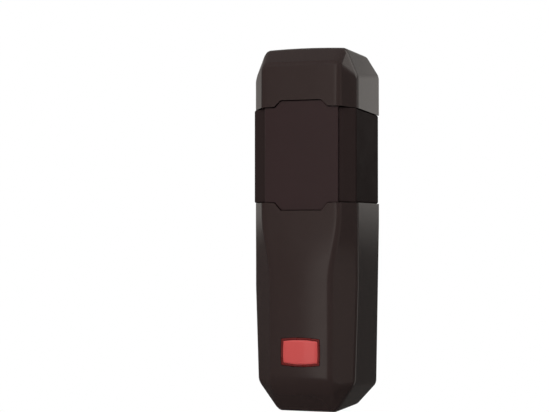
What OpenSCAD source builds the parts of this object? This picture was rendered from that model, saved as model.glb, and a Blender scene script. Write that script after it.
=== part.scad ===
// Gate safety photocell, the receiver of a pair, fixed to a wall or post.
// The wall is the plane y = 0 and the front looks along -y, with +z up.
// The origin is the centre of the face that lies on the wall.

/* [Body] */
// Height of the whole photocell
body_h = 130; // [128:1:145]
// Width over the two side walls
body_w = 38.6; // [38:0.2:44]
// Depth from the wall to the front face
body_d = 35; // [34.5:0.5:42]
// Width of the front face between its slanted corners
front_w = 28.6; // [28:0.2:31]
// Depth of the slanted corners beside the front face
corner_d = 6.5; // [6:0.5:8]
// Wall of the outer covers
skin_t = 2.4; // [2.2:0.1:2.6]
// Gap between the outer covers and the wall behind
wall_gap = 0.4; // [0.2:0.1:0.8]

/* [Upper cap] */
// Height of the upper cap
cap_h = 21.5; // [20:0.5:26]
// Width of the flat top
top_w = 30; // [28:0.1:32]
// How far the slope at the top sets the front back
top_slope_d = 6.7; // [4:0.1:9]
// Height of the slope at the top of the front face
top_slope_h = 6; // [4:0.5:8]
// Height of the slope at the top of the side faces, at the wall
top_side_h = 7.7; // [7:0.1:9]
// Height of that slope at the slanted corners
top_corner_h = 9.9; // [9:0.1:11]
// Rise of the middle of the top above its ends
top_crown = 0.5; // [0.2:0.1:1]

/* [Window] */
// Height of the window that shows between the covers
window_h = 34; // [33:0.5:38]
// Wall of the window
window_t = 2.2; // [1.8:0.1:2.4]
// How far the window's sides lie inside the covers
window_recess = 0.2; // [0.1:0.05:0.4]
// Depth of the window's sides from the wall plane
window_side_d = 30; // [28:0.5:31]
// Width of the filter panel on the window's front
panel_w = 27.3; // [25:0.1:28]
// How far the filter panel lies behind the front face
panel_recess = 0.7; // [0.5:0.1:0.9]
// Height of the panel's tongue into the upper cap
notch_up = 2.4; // [1.5:0.1:3]
// Height of the panel's tongue into the lower cover
notch_down = 2.8; // [1.5:0.1:3]
// Half the width of both tongues where they start
notch_root = 10; // [9:0.1:11]
// Half the width of both tongues at their ends
notch_end = 7.5; // [6:0.1:8]
// Height of the laps by which the window enters the covers
lap_h = 3.5; // [3.2:0.1:5]
// Wall of the covers over those laps
lap_t = 1.2; // [1:0.1:1.4]

/* [Lower cover] */
// Width of the front face below the waist
lower_front_w = 22.2; // [19:0.2:24]
// Height over which the front face narrows to that width
waist_h = 25; // [20:0.5:26]
// Height from the waist to where the sides start to draw in
side_straight_h = 1; // [0.5:0.5:6]
// Width over the sides just above the bottom slope
foot_w = 36.4; // [35.6:0.1:38]
// Width of the flat bottom
bottom_w = 21.7; // [18:0.1:24]
// How far the slope at the bottom sets the front back
bottom_slope_d = 9.5; // [6:0.5:11]
// Height of the slope at the bottom of the front face
bottom_slope_h = 9.7; // [7:0.1:11]
// Height of the slope at the bottom of the sides, at the wall
bottom_side_h = 8.3; // [7:0.1:9]
// Height of that slope at the slanted corners
bottom_corner_h = 10.6; // [10:0.1:12]
// Rise of the middle of the lower front face above its edges
front_crown = 0.5; // [0.2:0.1:1]

/* [Badge] */
// Width of the badge's frame
badge_w = 14.4; // [12:0.2:16]
// Height of the badge's frame at its middle
badge_h = 11.2; // [10:0.2:12]
// How far the frame's top and bottom edges bulge
badge_bulge = 0.8; // [0.4:0.1:1.2]
// Width of the rim that shows round the badge's face
badge_rim = 0.75; // [0.5:0.05:1]
// Thickness of the badge's frame plate
badge_t = 1.6; // [1.2:0.1:2]
// How far the badge's face stands out of its frame
badge_proud = 0.5; // [0.3:0.1:0.8]
// Height of the badge's middle above the bottom
badge_rise = 21.4; // [21:0.1:23]
// Length of the badge's snap legs
badge_leg = 2.6; // [2:0.1:3.5]

/* [Base] */
// Depth of the rear base with its rim
base_d = 12; // [11:0.5:13]
// Thickness of the base's back plate
plate_t = 2.5; // [2.2:0.1:3]
// Wall of the base's rim
rim_t = 2.2; // [2:0.1:2.4]
// Gap between the base's rim and the covers
base_gap = 0.3; // [0.2:0.05:0.4]
// Diameter of the wall screw holes
wall_hole_d = 4.5; // [4:0.1:5]
// Distance between the two wall screw holes
wall_hole_spacing = 85; // [84.5:0.1:85.5]
// Drop of the upper wall screw hole below the top
wall_hole_drop = 13; // [12.5:0.1:13.5]
// Diameter of the cable that the grommet takes
cable_d = 5.6; // [4:0.1:6]
// Width of the seal between base and covers
seal_w = 2; // [1.5:0.1:2.5]

/* [Cover screw] */
// Diameter of the cover screw's shank
screw_d = 2.9; // [2.5:0.1:3]
// Diameter of the cover screw's head
screw_head_d = 5.6; // [5:0.1:6]
// Thickness of the cover screw's head
screw_head_t = 2.2; // [1.8:0.1:2.6]
// Length of the cover screw's shank
screw_l = 12; // [10:0.5:13]
// Depth from the wall to the seat under the cover screw's head
screw_seat = 18; // [17.5:0.1:18.5]

/* [Swivel head] */
// Depth from the wall to the swivel's axis
pan_depth = 16.5; // [16.2:0.1:17]
// Outer diameter of the lens barrel
barrel_w = 14.8; // [14:0.1:15]
// Wall of the lens barrel
barrel_t = 1.2; // [1:0.1:1.4]
// Reach of the barrel in front of the axis
barrel_reach = 10.5; // [10:0.1:10.8]
// Reach of the barrel behind the axis
barrel_tail = 7.5; // [7:0.1:7.8]
// Greatest tilt of the barrel up or down, in degrees
tilt_max = 15; // [10:1:15]
// Diameter of the yoke's two discs
yoke_w = 22; // [21:0.1:22.5]
// Thickness of the yoke's discs
yoke_t = 2; // [1.6:0.1:2.2]
// Thickness of the yoke's arms
arm_t = 2; // [1.6:0.1:2.2]
// Width of the yoke's arms
arm_wide = 8; // [6:0.2:8.4]
// Diameter of the tilt pins
tilt_pin_d = 3; // [2.5:0.1:3.4]
// Outer diameter of the hollow swivel journal
journal_d = 7; // [6.4:0.1:7.4]
// Bore of the swivel journal, for the leads
journal_bore = 4; // [3.6:0.1:4.2]
// Diameter of the upper swivel pin
pan_pin_d = 4; // [3:0.1:4.4]
// Thickness of the bracket's web and shelves
bracket_t = 2.5; // [2.2:0.1:2.8]
// Gap between the bracket and the base's rim on each side
bracket_gap = 2.4; // [2:0.1:3]

/* [Circuit board] */
// Height of the wiring space between the cover screw's boss and the board
wiring_h = 13.2; // [12.6:0.1:14]
// Thickness of the circuit board
board_t = 1.6; // [1.2:0.1:1.8]
// Depth from the wall to the back of the board
board_seat = 8; // [7:0.1:8.4]
// Distance between neighbouring terminals
terminal_step = 5; // [4.6:0.1:5]
// Height of the terminal block above the board
terminal_rise = 10; // [9:0.1:11]
// Size of the terminal block along the wall's height
terminal_depth = 10.5; // [10:0.1:10.8]
// Width of the relay
relay_w = 10; // [9:0.1:10.2]
// Rise of the relay above the board
relay_rise = 12; // [10:0.5:14]
// Diameter of the filter capacitor
can_d = 6; // [5:0.1:6.2]
// Rise of the filter capacitor above the board
capacitor_rise = 11; // [9:0.5:13]

/* [Hidden] */
$fn = 48;

// Overrun of every cut past the face that it opens
over = 0.5;
// Running clearance of a pin or journal in its bore
run_gap = 0.05;
// Gap between pieces that lie side by side
seat_gap = 0.1;
// Gap beside pieces that turn or slide past each other
free_gap = 0.3;
// Number of wire terminals, one node for each screw
terminals = 5;

// The form was drawn for these sizes, and other sizes stretch it by these shares
drawn_h = 130;
drawn_w = 38.6;
drawn_d = 35;
tall = body_h / drawn_h;
wide = body_w / drawn_w;
deep = body_d / drawn_d;

half_h = body_h / 2;
side_half_w = body_w / 2;
front_half_w = wide * front_w / 2;
side_d = body_d - deep * corner_d;
cap_edge_z = half_h - tall * cap_h;
cover_edge_z = cap_edge_z - tall * window_h;
eye_z = (cap_edge_z + cover_edge_z) / 2;
waist_top_z = cover_edge_z - lap_h;
waist_end_z = waist_top_z - tall * waist_h;
straight_end_z = waist_end_z - tall * side_straight_h;
foot_half_w = wide * foot_w / 2;
// Depth that the slanted corner keeps where the top and bottom slopes end
corner_left = 0.8;

// Half the width of the body at its back, along the height
rear_half_table = [
    [-half_h, wide * bottom_w / 2], [-half_h + tall * bottom_side_h, foot_half_w],
    [straight_end_z, side_half_w], [half_h - tall * top_side_h, side_half_w],
    [half_h, wide * top_w / 2]];
// Half the width where the side faces meet the slanted corners
side_half_table = [
    [-half_h, wide * bottom_w / 2], [-half_h + tall * bottom_corner_h, foot_half_w],
    [straight_end_z, side_half_w], [half_h - tall * top_corner_h, side_half_w],
    [half_h, wide * top_w / 2]];
// Depth from the wall where the side faces end
side_depth_table = [
    [-half_h, body_d - deep * bottom_slope_d - corner_left],
    [-half_h + tall * bottom_corner_h, side_d], [half_h - tall * top_corner_h, side_d],
    [half_h, body_d - deep * top_slope_d - corner_left]];
// Depth of the front face
front_depth_table = [
    [-half_h, body_d - deep * bottom_slope_d], [-half_h + tall * bottom_slope_h, body_d],
    [half_h - tall * top_slope_h, body_d], [half_h, body_d - deep * top_slope_d]];

function smooth(t) = t * t * (3 - 2 * t);
function waist_share(z) =
    smooth(max(0, min(1, (waist_top_z - z) / (waist_top_z - waist_end_z))));
function front_half(z) =
    let (half = front_half_w + (wide * lower_front_w / 2 - front_half_w) * waist_share(z))
    min(half, lookup(z, side_half_table) - corner_left);
function crown_at(z) =
    front_crown * waist_share(z) * lookup(z, [[-half_h, 0], [-half_h + tall * bottom_slope_h, 1]]);

// Side and front corner of a plan whose walls are moved in by t
function inset_corner(s, sd, f, fd, t) =
    let (dx = s - f, dd = fd - sd, n = norm([dx, dd]), c = (dd * s + dx * sd) / n - t)
    [[s - t, (c - dd / n * (s - t)) * n / dx],
     [(c - dx / n * (fd - t)) * n / dd, fd - t]];

// One ring of the skin, anticlockwise from above, at height z with its walls moved in by t
front_steps = 6;
function ring(z, t, back, place) =
    let (k = inset_corner(lookup(z, side_half_table), lookup(z, side_depth_table),
            front_half(z), lookup(z, front_depth_table), t),
        r = lookup(z, rear_half_table) - t, rise = crown_at(z))
    concat(
        [[-r, -back, place], [-k[0][0], -k[0][1], place]],
        [for (i = [0:front_steps]) let (u = 2 * i / front_steps - 1)
            [u * k[1][0], -k[1][1] - rise * (1 - u * u), place]],
        [[k[0][0], -k[0][1], place], [r, -back, place]]);

// The values of a list from the lowest to the highest, each once
function sorted(v) =
    len(v) < 2 ? v :
    concat(sorted([for (x = v) if (x < v[0]) x]), [v[0]], sorted([for (x = v) if (x > v[0]) x]));

function squeeze(z, t) = max(-half_h + t, min(half_h - t, z));

function middle(points) = [for (p = points) 1] * points / len(points);

// Whether the line from i below to j above lies further out than the one that crosses it
function folds_out(low, high, i, j) =
    let (c = middle([middle(low), middle(high)]))
    norm(middle([low[i], high[j]]) - c) >= norm(middle([low[j], high[i]]) - c);

// Closed solid through rings, from the lowest to the highest, whose twisted sides fold outwards
module loft(rings) {
    n = len(rings[0]);
    m = len(rings);
    sides = [for (k = [0:m - 2], i = [0:n - 1])
        let (j = (i + 1) % n, a = k * n + i, b = k * n + j)
        each folds_out(rings[k], rings[k + 1], i, j)
            ? [[a, a + n, b + n], [a, b + n, b]] : [[a, a + n, b], [b, a + n, b + n]]];
    bottom = [for (i = [0:n - 1]) [n * m, i, (i + 1) % n]];
    top = [for (i = [0:n - 1]) let (a = (m - 1) * n) [n * m + 1, a + (i + 1) % n, a + i]];
    polyhedron(concat([for (r = rings) each r], [middle(rings[0]), middle(rings[m - 1])]),
        concat(bottom, sides, top));
}

module skin(levels, t, back) {
    loft([for (z = sorted(levels)) ring(z, t, back, squeeze(z, t))]);
}

// Prism that stands off the wall with the outline seen from the front
module off_wall(from, to) {
    translate([0, -from, 0]) rotate([90, 0, 0]) linear_extrude(to - from) children();
}

// Round bar that stands off the wall at x and z
module peg(x, z, r, from, to) {
    off_wall(from, to) translate([x, z]) circle(r);
}

// Block given by its middle across, its depths from the wall and its heights
module block(x, w, from, to, low, high) {
    off_wall(from, to) translate([x - w / 2, low]) square([w, high - low]);
}

// Plan of the body over its straight part, with its walls moved in by t
module plan(t, back) {
    k = inset_corner(side_half_w, side_d, front_half_w, body_d, t);
    polygon([[-k[0][0], -back], [-k[0][0], -k[0][1]], [-k[1][0], -k[1][1]],
        [k[1][0], -k[1][1]], [k[0][0], -k[0][1]], [k[0][0], -back]]);
}

// Front view of the body with its walls moved in by t, as the base follows it
function outline(t) =
    let (zs = [-half_h, -half_h + tall * bottom_corner_h, straight_end_z,
            half_h - tall * top_corner_h, half_h],
        right = [for (z = zs) [lookup(z, side_half_table) - t, squeeze(z, t)]])
    concat(right, [for (i = [len(zs) - 1:-1:0]) [-right[i][0], right[i][1]]]);

// Radius of the arc over half a chord with a given rise
function arc_radius(half_chord, rise) = (half_chord * half_chord + rise * rise) / (2 * rise);

skin_colour = "#2b2524";
window_colour = "#1c1717";

// Where the pieces inside lie
base_in = skin_t + base_gap;
rim_in = base_in + rim_t;
seal_sunk = rim_t / 2;
seal_from = base_d / 2;
wall_hole_z = half_h - tall * wall_hole_drop;
wall_hole_low_z = wall_hole_z - tall * wall_hole_spacing;
badge_z = -half_h + tall * badge_rise;

// The base's bosses round the wall screws and the cover screw
boss_t = 2.1;
boss_step = 1;
wall_boss_r = wall_hole_d / 2 + boss_t;
screw_boss_r = screw_d / 2 + boss_t;
screw_floor_t = 2;
screw_boss_top = screw_seat - screw_floor_t - free_gap;
slot_w = 0.8;
// The cable's hole lies midway between the cover screw's boss and the base's rim
cable_z = (badge_z - screw_boss_r - half_h + rim_in) / 2;
well_r = screw_head_d / 2 + free_gap;
well_t = 1.2;
oring_r = 0.45;
oring_room = oring_r * 2 + run_gap;

// The guide pins at the top of the base and their sockets in the upper cap
pin_r = 1.5;
pin_root_r = 2.4;
pin_x = wide * 9;
pin_drop = 11;
pin_z = half_h - tall * pin_drop;
pin_l = 7;
pin_top = base_d + pin_l;
socket_t = 1.2;
socket_from = pin_top - pin_l + socket_t;

// The swivel head keeps its share of the depth
pan_d = deep * pan_depth;
barrel_d = deep * barrel_w;
barrel_front = deep * barrel_reach;
barrel_rear = deep * barrel_tail;
yoke_d = deep * yoke_w;
arm_w = deep * arm_wide;
bracket_w = 2 * (side_half_w - rim_in - bracket_gap);
ring_lip = 1;
washer_t = 0.4;
washer_w = 2.4;
clip_t = 0.6;
clip_room = 0.5;
clip_w = 1.4;
clip_groove = 0.5;
yoke_half = barrel_d / 2 * cos(tilt_max) + (barrel_front + ring_lip) * sin(tilt_max) + 2 * free_gap;
shelf_low_z = eye_z - yoke_half - yoke_t - washer_t;
shelf_high_z = eye_z + yoke_half + yoke_t + washer_t;
bracket_low_z = shelf_low_z - bracket_t;
bracket_high_z = shelf_high_z + bracket_t;
disc_low_z = shelf_low_z + washer_t;
disc_high_z = shelf_high_z - washer_t;
journal_end_z = bracket_low_z - clip_t - clip_room;
lead_room = 3.6;
arm_space = 0.6;
arm_x = barrel_d / 2 + arm_space;
pin_head_r = 2.1;
pin_head_t = 0.7;
web_t = 2;
web_front = plate_t + web_t;

// The circuit board in front of the base
board_gap = 0.5;
board_top_z = journal_end_z - lead_room;
board_low_z = badge_z + screw_boss_r + tall * wiring_h;
board_h = board_top_z - board_low_z;
board_face = board_seat + board_t;
board_half_w = side_half_w - rim_in - board_gap;

// Parts on the board shrink with a board that is smaller than the drawn one
drawn_board_h = 33;
drawn_board_half_w = 13.9;
fit = min(1, board_h / drawn_board_h, board_half_w / drawn_board_half_w);
terminal_pitch = fit * terminal_step;
terminal_deep = fit * terminal_depth;
capacitor_d = fit * can_d;

// The small screws of the board and bracket, and the posts under the board
small_screw_r = 0.9;
small_head_r = fit * 1.9;
small_head_t = 1.3;
small_grip = 3.2;
post_r = fit * 2.4;
post_x = board_half_w - post_r - seat_gap;
post_z = board_top_z - post_r - seat_gap;
rest_r = fit * 1.6;
rest_z = board_low_z + post_r + rest_r;
bracket_screw_x = bracket_w / 2 - small_head_r - boss_step;
bracket_screw_rise = 7;

// Layout of the parts on the board
part_gap = 0.5;
block_end_t = 0.4;
block_half_w = terminals * terminal_pitch / 2 + block_end_t;
block_low_z = board_low_z + free_gap;
block_high_z = block_low_z + terminal_deep;
block_top = board_face + terminal_rise;
relay_l = 2 * board_half_w - 3 * part_gap - free_gap - capacitor_d;
relay_low_z = block_high_z + 2 * part_gap;
relay_high_z = relay_low_z + fit * relay_w;
relay_x = -board_half_w + relay_l / 2 + 2 * part_gap;
capacitor_x = relay_x + relay_l / 2 + capacitor_d / 2 + part_gap;
capacitor_z = (relay_low_z + relay_high_z) / 2;
strip_z = relay_high_z + part_gap;

// Terminals: wire holes from below and screws from the front
function terminal_x(i) = (i - (terminals - 1) / 2) * terminal_pitch;
clamp_w = fit * 3.4;
clamp_tall = 4.4;
clamp_wall = 0.7;
clamp_l = fit * 5;
clamp_rise = 1.2;
clamp_in = fit * 2.4;
clamp_from = board_face + clamp_rise;
clamp_z = block_low_z + clamp_in + clamp_l / 2;
terminal_screw_r = fit * 1.25;
terminal_head_r = fit * 1.7;
terminal_head_t = 1.3;
terminal_neck = 0.8;
terminal_head_from = clamp_from + clamp_tall + terminal_neck;

// Prism across the width whose outline is given by depth from the wall and height
module across(x, w) {
    translate([x - w / 2, 0, 0]) rotate([90, 0, 90]) linear_extrude(w) mirror([1, 0]) children();
}

// Prism along the height whose outline is seen from above
module upright(low, high) {
    translate([0, 0, low]) linear_extrude(high - low) children();
}

module both_sides() {
    children();
    mirror([1, 0, 0]) children();
}

// Rectangle round a middle with its corners cut off
module cut_corners(x, z, w, h, c) {
    translate([x, z]) polygon([[-w / 2, c - h / 2], [c - w / 2, -h / 2], [w / 2 - c, -h / 2],
        [w / 2, c - h / 2], [w / 2, h / 2 - c], [w / 2 - c, h / 2], [c - w / 2, h / 2], [-w / 2, h / 2 - c]]);
}

module small_screw(x, z, under, grip) {
    difference() {
        union() {
            peg(x, z, small_head_r, under, under + small_head_t);
            peg(x, z, small_screw_r, under - grip, under + seat_gap);
        }
        for (turn = [0, 90]) translate([x, 0, z]) rotate([0, turn, 0])
            block(0, small_head_r, under + small_head_t / 2, under + small_head_t + over,
                -slot_w / 4, slot_w / 4);
    }
}

// Sizes of the grommet in the base
grommet_wall = 1.4;
grommet_lip = 1;
grommet_neck_r = cable_d / 2 + grommet_wall;
grommet_flange_r = grommet_neck_r + grommet_lip;
grommet_flange_t = 1;

module rear_base() {
    color("#3d4144") difference() {
        union() {
            difference() {
                off_wall(0, base_d) polygon(outline(base_in));
                off_wall(plate_t, base_d + over) polygon(outline(rim_in));
                off_wall(seal_from, seal_from + seal_w) difference() {
                    square([body_w, body_h], center = true);
                    polygon(outline(base_in + seal_sunk));
                }
            }
            for (z = [wall_hole_z, wall_hole_low_z]) peg(0, z, wall_boss_r, 0, plate_t + boss_step);
            peg(0, badge_z, screw_boss_r, 0, screw_boss_top);
            both_sides() {
                peg(pin_x, pin_z, pin_root_r, 0, base_d);
                peg(pin_x, pin_z, pin_r, 0, pin_top);
                peg(post_x, post_z, post_r, 0, board_seat);
                peg(post_x, rest_z, rest_r, 0, board_seat);
            }
        }
        for (z = [wall_hole_z, wall_hole_low_z])
            peg(0, z, wall_hole_d / 2, -over, plate_t + boss_step + over);
        peg(0, badge_z, screw_d / 2 + run_gap, screw_seat - screw_l - over, screw_boss_top + over);
        peg(0, cable_z, grommet_neck_r + run_gap, -over, plate_t + over);
        peg(0, cable_z, grommet_flange_r + seat_gap, -over, grommet_flange_t + seat_gap);
        both_sides() {
            peg(post_x, post_z, small_screw_r + run_gap, board_seat - small_grip - over, board_seat + over);
            for (z = [bracket_low_z + bracket_screw_rise, bracket_high_z - bracket_screw_rise])
                peg(bracket_screw_x, z, small_screw_r + run_gap,
                    web_front - small_grip - seat_gap, plate_t + over);
        }
    }
}

module base_seal() {
    color("#1d1d1f") off_wall(seal_from, seal_from + seal_w) difference() {
        polygon(outline(skin_t + seat_gap));
        polygon(outline(base_in + seal_sunk));
    }
}

module cable_grommet() {
    color("#202022") difference() {
        union() {
            peg(0, cable_z, grommet_flange_r, seat_gap, grommet_flange_t);
            peg(0, cable_z, grommet_neck_r, seat_gap, plate_t + grommet_flange_t);
            peg(0, cable_z, grommet_flange_r, plate_t, plate_t + grommet_flange_t);
        }
        peg(0, cable_z, cable_d / 2, -over, plate_t + grommet_flange_t + over);
    }
}

module main_board() {
    color("#1f5c3a") difference() {
        block(0, 2 * board_half_w, board_seat, board_face, board_low_z, board_top_z);
        both_sides() peg(post_x, post_z, small_screw_r + seat_gap, board_seat - over, board_face + over);
    }
}

module board_screws() {
    color("#b8bcc0") both_sides() small_screw(post_x, post_z, board_face, board_t + small_grip);
}

block_slope = 3;
block_edge = 0.8;

module terminal_block() {
    color("#2f7d4f") difference() {
        across(0, 2 * block_half_w) polygon([[board_face, block_low_z],
            [block_top - block_slope, block_low_z], [block_top, block_low_z + block_slope / 2],
            [block_top, block_high_z - block_edge],
            [block_top - block_edge, block_high_z], [board_face, block_high_z]]);
        for (i = [0:terminals - 1]) {
            block(terminal_x(i), clamp_w + 2 * seat_gap, clamp_from - seat_gap,
                clamp_from + clamp_tall + seat_gap, block_low_z - over, clamp_z + clamp_l / 2 + seat_gap);
            peg(terminal_x(i), clamp_z, terminal_head_r + free_gap,
                clamp_from + clamp_tall, block_top + over);
        }
    }
}

module terminal_clamps() {
    color("#c9cdd1") for (i = [0:terminals - 1]) difference() {
        block(terminal_x(i), clamp_w, clamp_from, clamp_from + clamp_tall,
            clamp_z - clamp_l / 2, clamp_z + clamp_l / 2);
        block(terminal_x(i), clamp_w - 2 * clamp_wall, clamp_from + clamp_wall,
            clamp_from + clamp_tall - 2 * clamp_wall, clamp_z - clamp_l, clamp_z + clamp_l);
        peg(terminal_x(i), clamp_z, terminal_screw_r + run_gap, clamp_from + clamp_wall,
            clamp_from + clamp_tall + over);
    }
}

module terminal_screw(i) {
    color("#d3d6d9") difference() {
        union() {
            peg(terminal_x(i), clamp_z, terminal_head_r, terminal_head_from,
                terminal_head_from + terminal_head_t);
            peg(terminal_x(i), clamp_z, terminal_screw_r, clamp_from + clamp_tall / 2,
                terminal_head_from + seat_gap);
        }
        block(terminal_x(i), 2 * terminal_head_r + over, terminal_head_from + terminal_head_t / 2,
            terminal_head_from + terminal_head_t + over, clamp_z - slot_w / 4, clamp_z + slot_w / 4);
    }
}

module relay() {
    color("#2b4f9e") off_wall(board_face, board_face + relay_rise)
        cut_corners(relay_x, (relay_low_z + relay_high_z) / 2, relay_l, relay_high_z - relay_low_z, part_gap);
}

can_groove = 0.4;

module filter_capacitor() {
    color("#2d2f57") difference() {
        peg(capacitor_x, capacitor_z, capacitor_d / 2, board_face, board_face + capacitor_rise);
        off_wall(board_face + capacitor_d / 3, board_face + capacitor_d / 3 + can_groove) difference() {
            translate([capacitor_x, capacitor_z]) circle(capacitor_d);
            translate([capacitor_x, capacitor_z]) circle(capacitor_d / 2 - can_groove / 2);
        }
    }
}

varistor_r = fit * 3.4;
varistor_t = fit * 3.2;
varistor_stand = 1.2;
wire_r = 0.3;
varistor_x = -board_half_w + varistor_r + part_gap;

module varistor() {
    color("#c8792f") union() {
        translate([varistor_x, -board_face - varistor_stand - varistor_r, strip_z])
            cylinder(r = varistor_r, h = varistor_t);
        for (side = [-1, 1]) peg(varistor_x + side * varistor_r / 2, strip_z + varistor_t / 2, wire_r,
            board_face, board_face + varistor_stand + varistor_r / 2);
    }
}

chip_w = fit * 3.9;
chip_l = fit * 8.6;
chip_t = 1.5;
chip_span = fit * 6;
chip_pins = 7;
chip_pitch = fit * 1.27;
chip_leg_w = 0.42;
chip_leg_t = 0.22;
chip_x = varistor_x + varistor_r + part_gap + chip_span / 2;

module controller_chip() {
    color("#222224") union() {
        off_wall(board_face + chip_leg_t / 2, board_face + chip_t)
            cut_corners(chip_x, strip_z + chip_l / 2, chip_w, chip_l, chip_leg_t);
        for (i = [0:chip_pins - 1]) let (z = strip_z + chip_l / 2 + (i - (chip_pins - 1) / 2) * chip_pitch) {
            block(chip_x, chip_span, board_face, board_face + chip_leg_t,
                z - chip_leg_w / 2, z + chip_leg_w / 2);
            block(chip_x, chip_w + 2 * chip_leg_w, board_face, board_face + chip_t / 2,
                z - chip_leg_w / 2, z + chip_leg_w / 2);
        }
    }
}

pitch = fit * 2.54;
header_pin = fit * 0.64;
header_x = chip_x + chip_span / 2 + part_gap + pitch;
header_z = strip_z + pitch / 2;
link_l = 5.6;
link_shell = 0.9;
header_pin_l = pitch + link_l - link_shell - free_gap;

module jumper_header() {
    color("#26262a") union() {
        block(header_x, 2 * pitch, board_face, board_face + pitch,
            header_z - pitch / 2, header_z + pitch / 2);
        for (side = [-1, 1]) block(header_x + side * pitch / 2, header_pin, board_face,
            board_face + header_pin_l, header_z - header_pin / 2, header_z + header_pin / 2);
    }
}

module jumper_link() {
    color("#c23b30") difference() {
        block(header_x, 2 * pitch - seat_gap, board_face + pitch, board_face + pitch + link_l,
            header_z - pitch / 2 + seat_gap, header_z + pitch / 2 - seat_gap);
        for (side = [-1, 1]) block(header_x + side * pitch / 2, header_pin + 2 * run_gap,
            board_face + pitch - over, board_face + pitch + link_l - link_shell,
            header_z - header_pin / 2 - run_gap, header_z + header_pin / 2 + run_gap);
    }
}

bridge_w = fit * 4.4;
bridge_l = fit * 3.9;
bridge_t = 2.4;
bridge_x = header_x + pitch + part_gap + bridge_w / 2;

module bridge_rectifier() {
    color("#252528") union() {
        off_wall(board_face, board_face + bridge_t)
            cut_corners(bridge_x, strip_z + bridge_l / 2, bridge_w, bridge_l - 2 * chip_leg_w, chip_leg_w);
        for (side = [-1, 1]) block(bridge_x + side * bridge_w / 4, chip_leg_w, board_face,
            board_face + chip_leg_t, strip_z, strip_z + bridge_l);
    }
}

led_r = fit * 1.2;
led_rise = 3.6;
led_foot = 0.7;
led_x = bridge_x + bridge_w / 2 + part_gap / 2 + led_r;

module status_led() {
    color("#d8423a") union() {
        peg(led_x, strip_z + led_r, led_r, board_face, board_face + led_rise);
        peg(led_x, strip_z + led_r, led_r + seat_gap, board_face, board_face + led_foot);
        translate([led_x, -board_face - led_rise, strip_z + led_r]) sphere(led_r);
    }
}

smd_w = fit * 2;
smd_l = fit * 1.25;
smd_t = 0.55;
smd_count = 3;

module smd_parts() {
    color("#38342f") {
        for (i = [0:smd_count - 1]) block(varistor_x + varistor_r - smd_w / 2, smd_w, board_face,
            board_face + smd_t, strip_z + varistor_t + (i + 1) * smd_l * 3 / 2 - smd_l / 2,
            strip_z + varistor_t + (i + 1) * smd_l * 3 / 2 + smd_l / 2);
        for (side = [-1, 1]) block(capacitor_x + side * smd_w * 3 / 4, smd_w, board_face, board_face + smd_t,
            relay_high_z - smd_l, relay_high_z);
    }
}

lead_r = 0.45;
lead_count = 3;
plug_pitch = fit * 2;
plug_wall = 0.9;
plug_w = lead_count * plug_pitch + 2 * plug_wall;
plug_l = fit * 4.4;
plug_t = 5;
plug_x = header_x - pitch + plug_w / 2;
plug_high_z = board_top_z - part_gap;
plug_mid = board_face + plug_t / 2;

module lead_connector() {
    color("#ded9c8") difference() {
        block(plug_x, plug_w, board_face, board_face + plug_t, plug_high_z - plug_l, plug_high_z);
        block(plug_x, plug_w - 2 * plug_wall, board_face + plug_t - plug_wall / 2, board_face + plug_t + over,
            plug_high_z - plug_l - over, plug_high_z - plug_wall);
    }
}

// The leads from the board through the swivel to the sensor board
lead_sides = 6;
lead_rings = 14;
split_z = bracket_low_z + bracket_t / 2;
lead_spread = 1.1;
lead_bend = 2.5;
lead_climb = 5;
sensor_in = 0.4;
sensor_t = 1;
sensor_back = pan_d - barrel_rear + sensor_in;
lead_end_z = eye_z - barrel_d / 4;

function bezier(p, t) = let (u = 1 - t)
    u * u * u * p[0] + 3 * u * u * t * p[1] + 3 * u * t * t * p[2] + t * t * t * p[3];
function heading(p, t) = let (u = 1 - t)
    u * u * (p[1] - p[0]) + 2 * u * t * (p[2] - p[1]) + t * t * (p[3] - p[2]);
function unit(v) = v / norm(v);
function lead_ring(p, t) =
    let (across_v = unit(cross(heading(p, t), [1, 0, 0])), side_v = unit(cross(across_v, heading(p, t))))
    [for (k = [0:lead_sides - 1]) let (a = 360 * k / lead_sides)
        bezier(p, t) + lead_r * (cos(a) * side_v + sin(a) * across_v)];

module lead(p) {
    loft([for (i = [0:lead_rings]) lead_ring(p, i / lead_rings)]);
}

// Place of each lead round the swivel's bore, and its order on the sensor board
lead_angles = [103, 223, 343];
lead_order = [0, -1, 1];
function bore_place(i) = [cos(lead_angles[i]) * lead_spread, sin(lead_angles[i]) * lead_spread - pan_d];

module board_leads() {
    color("#b33a32") for (i = [0:lead_count - 1]) lead([
        [plug_x + (i - 1) * plug_pitch, -plug_mid, plug_high_z],
        [plug_x + (i - 1) * plug_pitch, -plug_mid, plug_high_z + lead_bend],
        [bore_place(i)[0], bore_place(i)[1], board_top_z - part_gap],
        [bore_place(i)[0], bore_place(i)[1], split_z]]);
}

module head_leads() {
    color("#b33a32") for (i = [0:lead_count - 1]) lead([
        [bore_place(i)[0], bore_place(i)[1], split_z],
        [bore_place(i)[0], bore_place(i)[1], split_z + lead_climb * yoke_t],
        [lead_order[i] * plug_pitch, -web_front, disc_low_z - yoke_t / 2],
        [lead_order[i] * plug_pitch, lead_r + seat_gap - sensor_back, lead_end_z]]);
}

gusset = 4;

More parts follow.
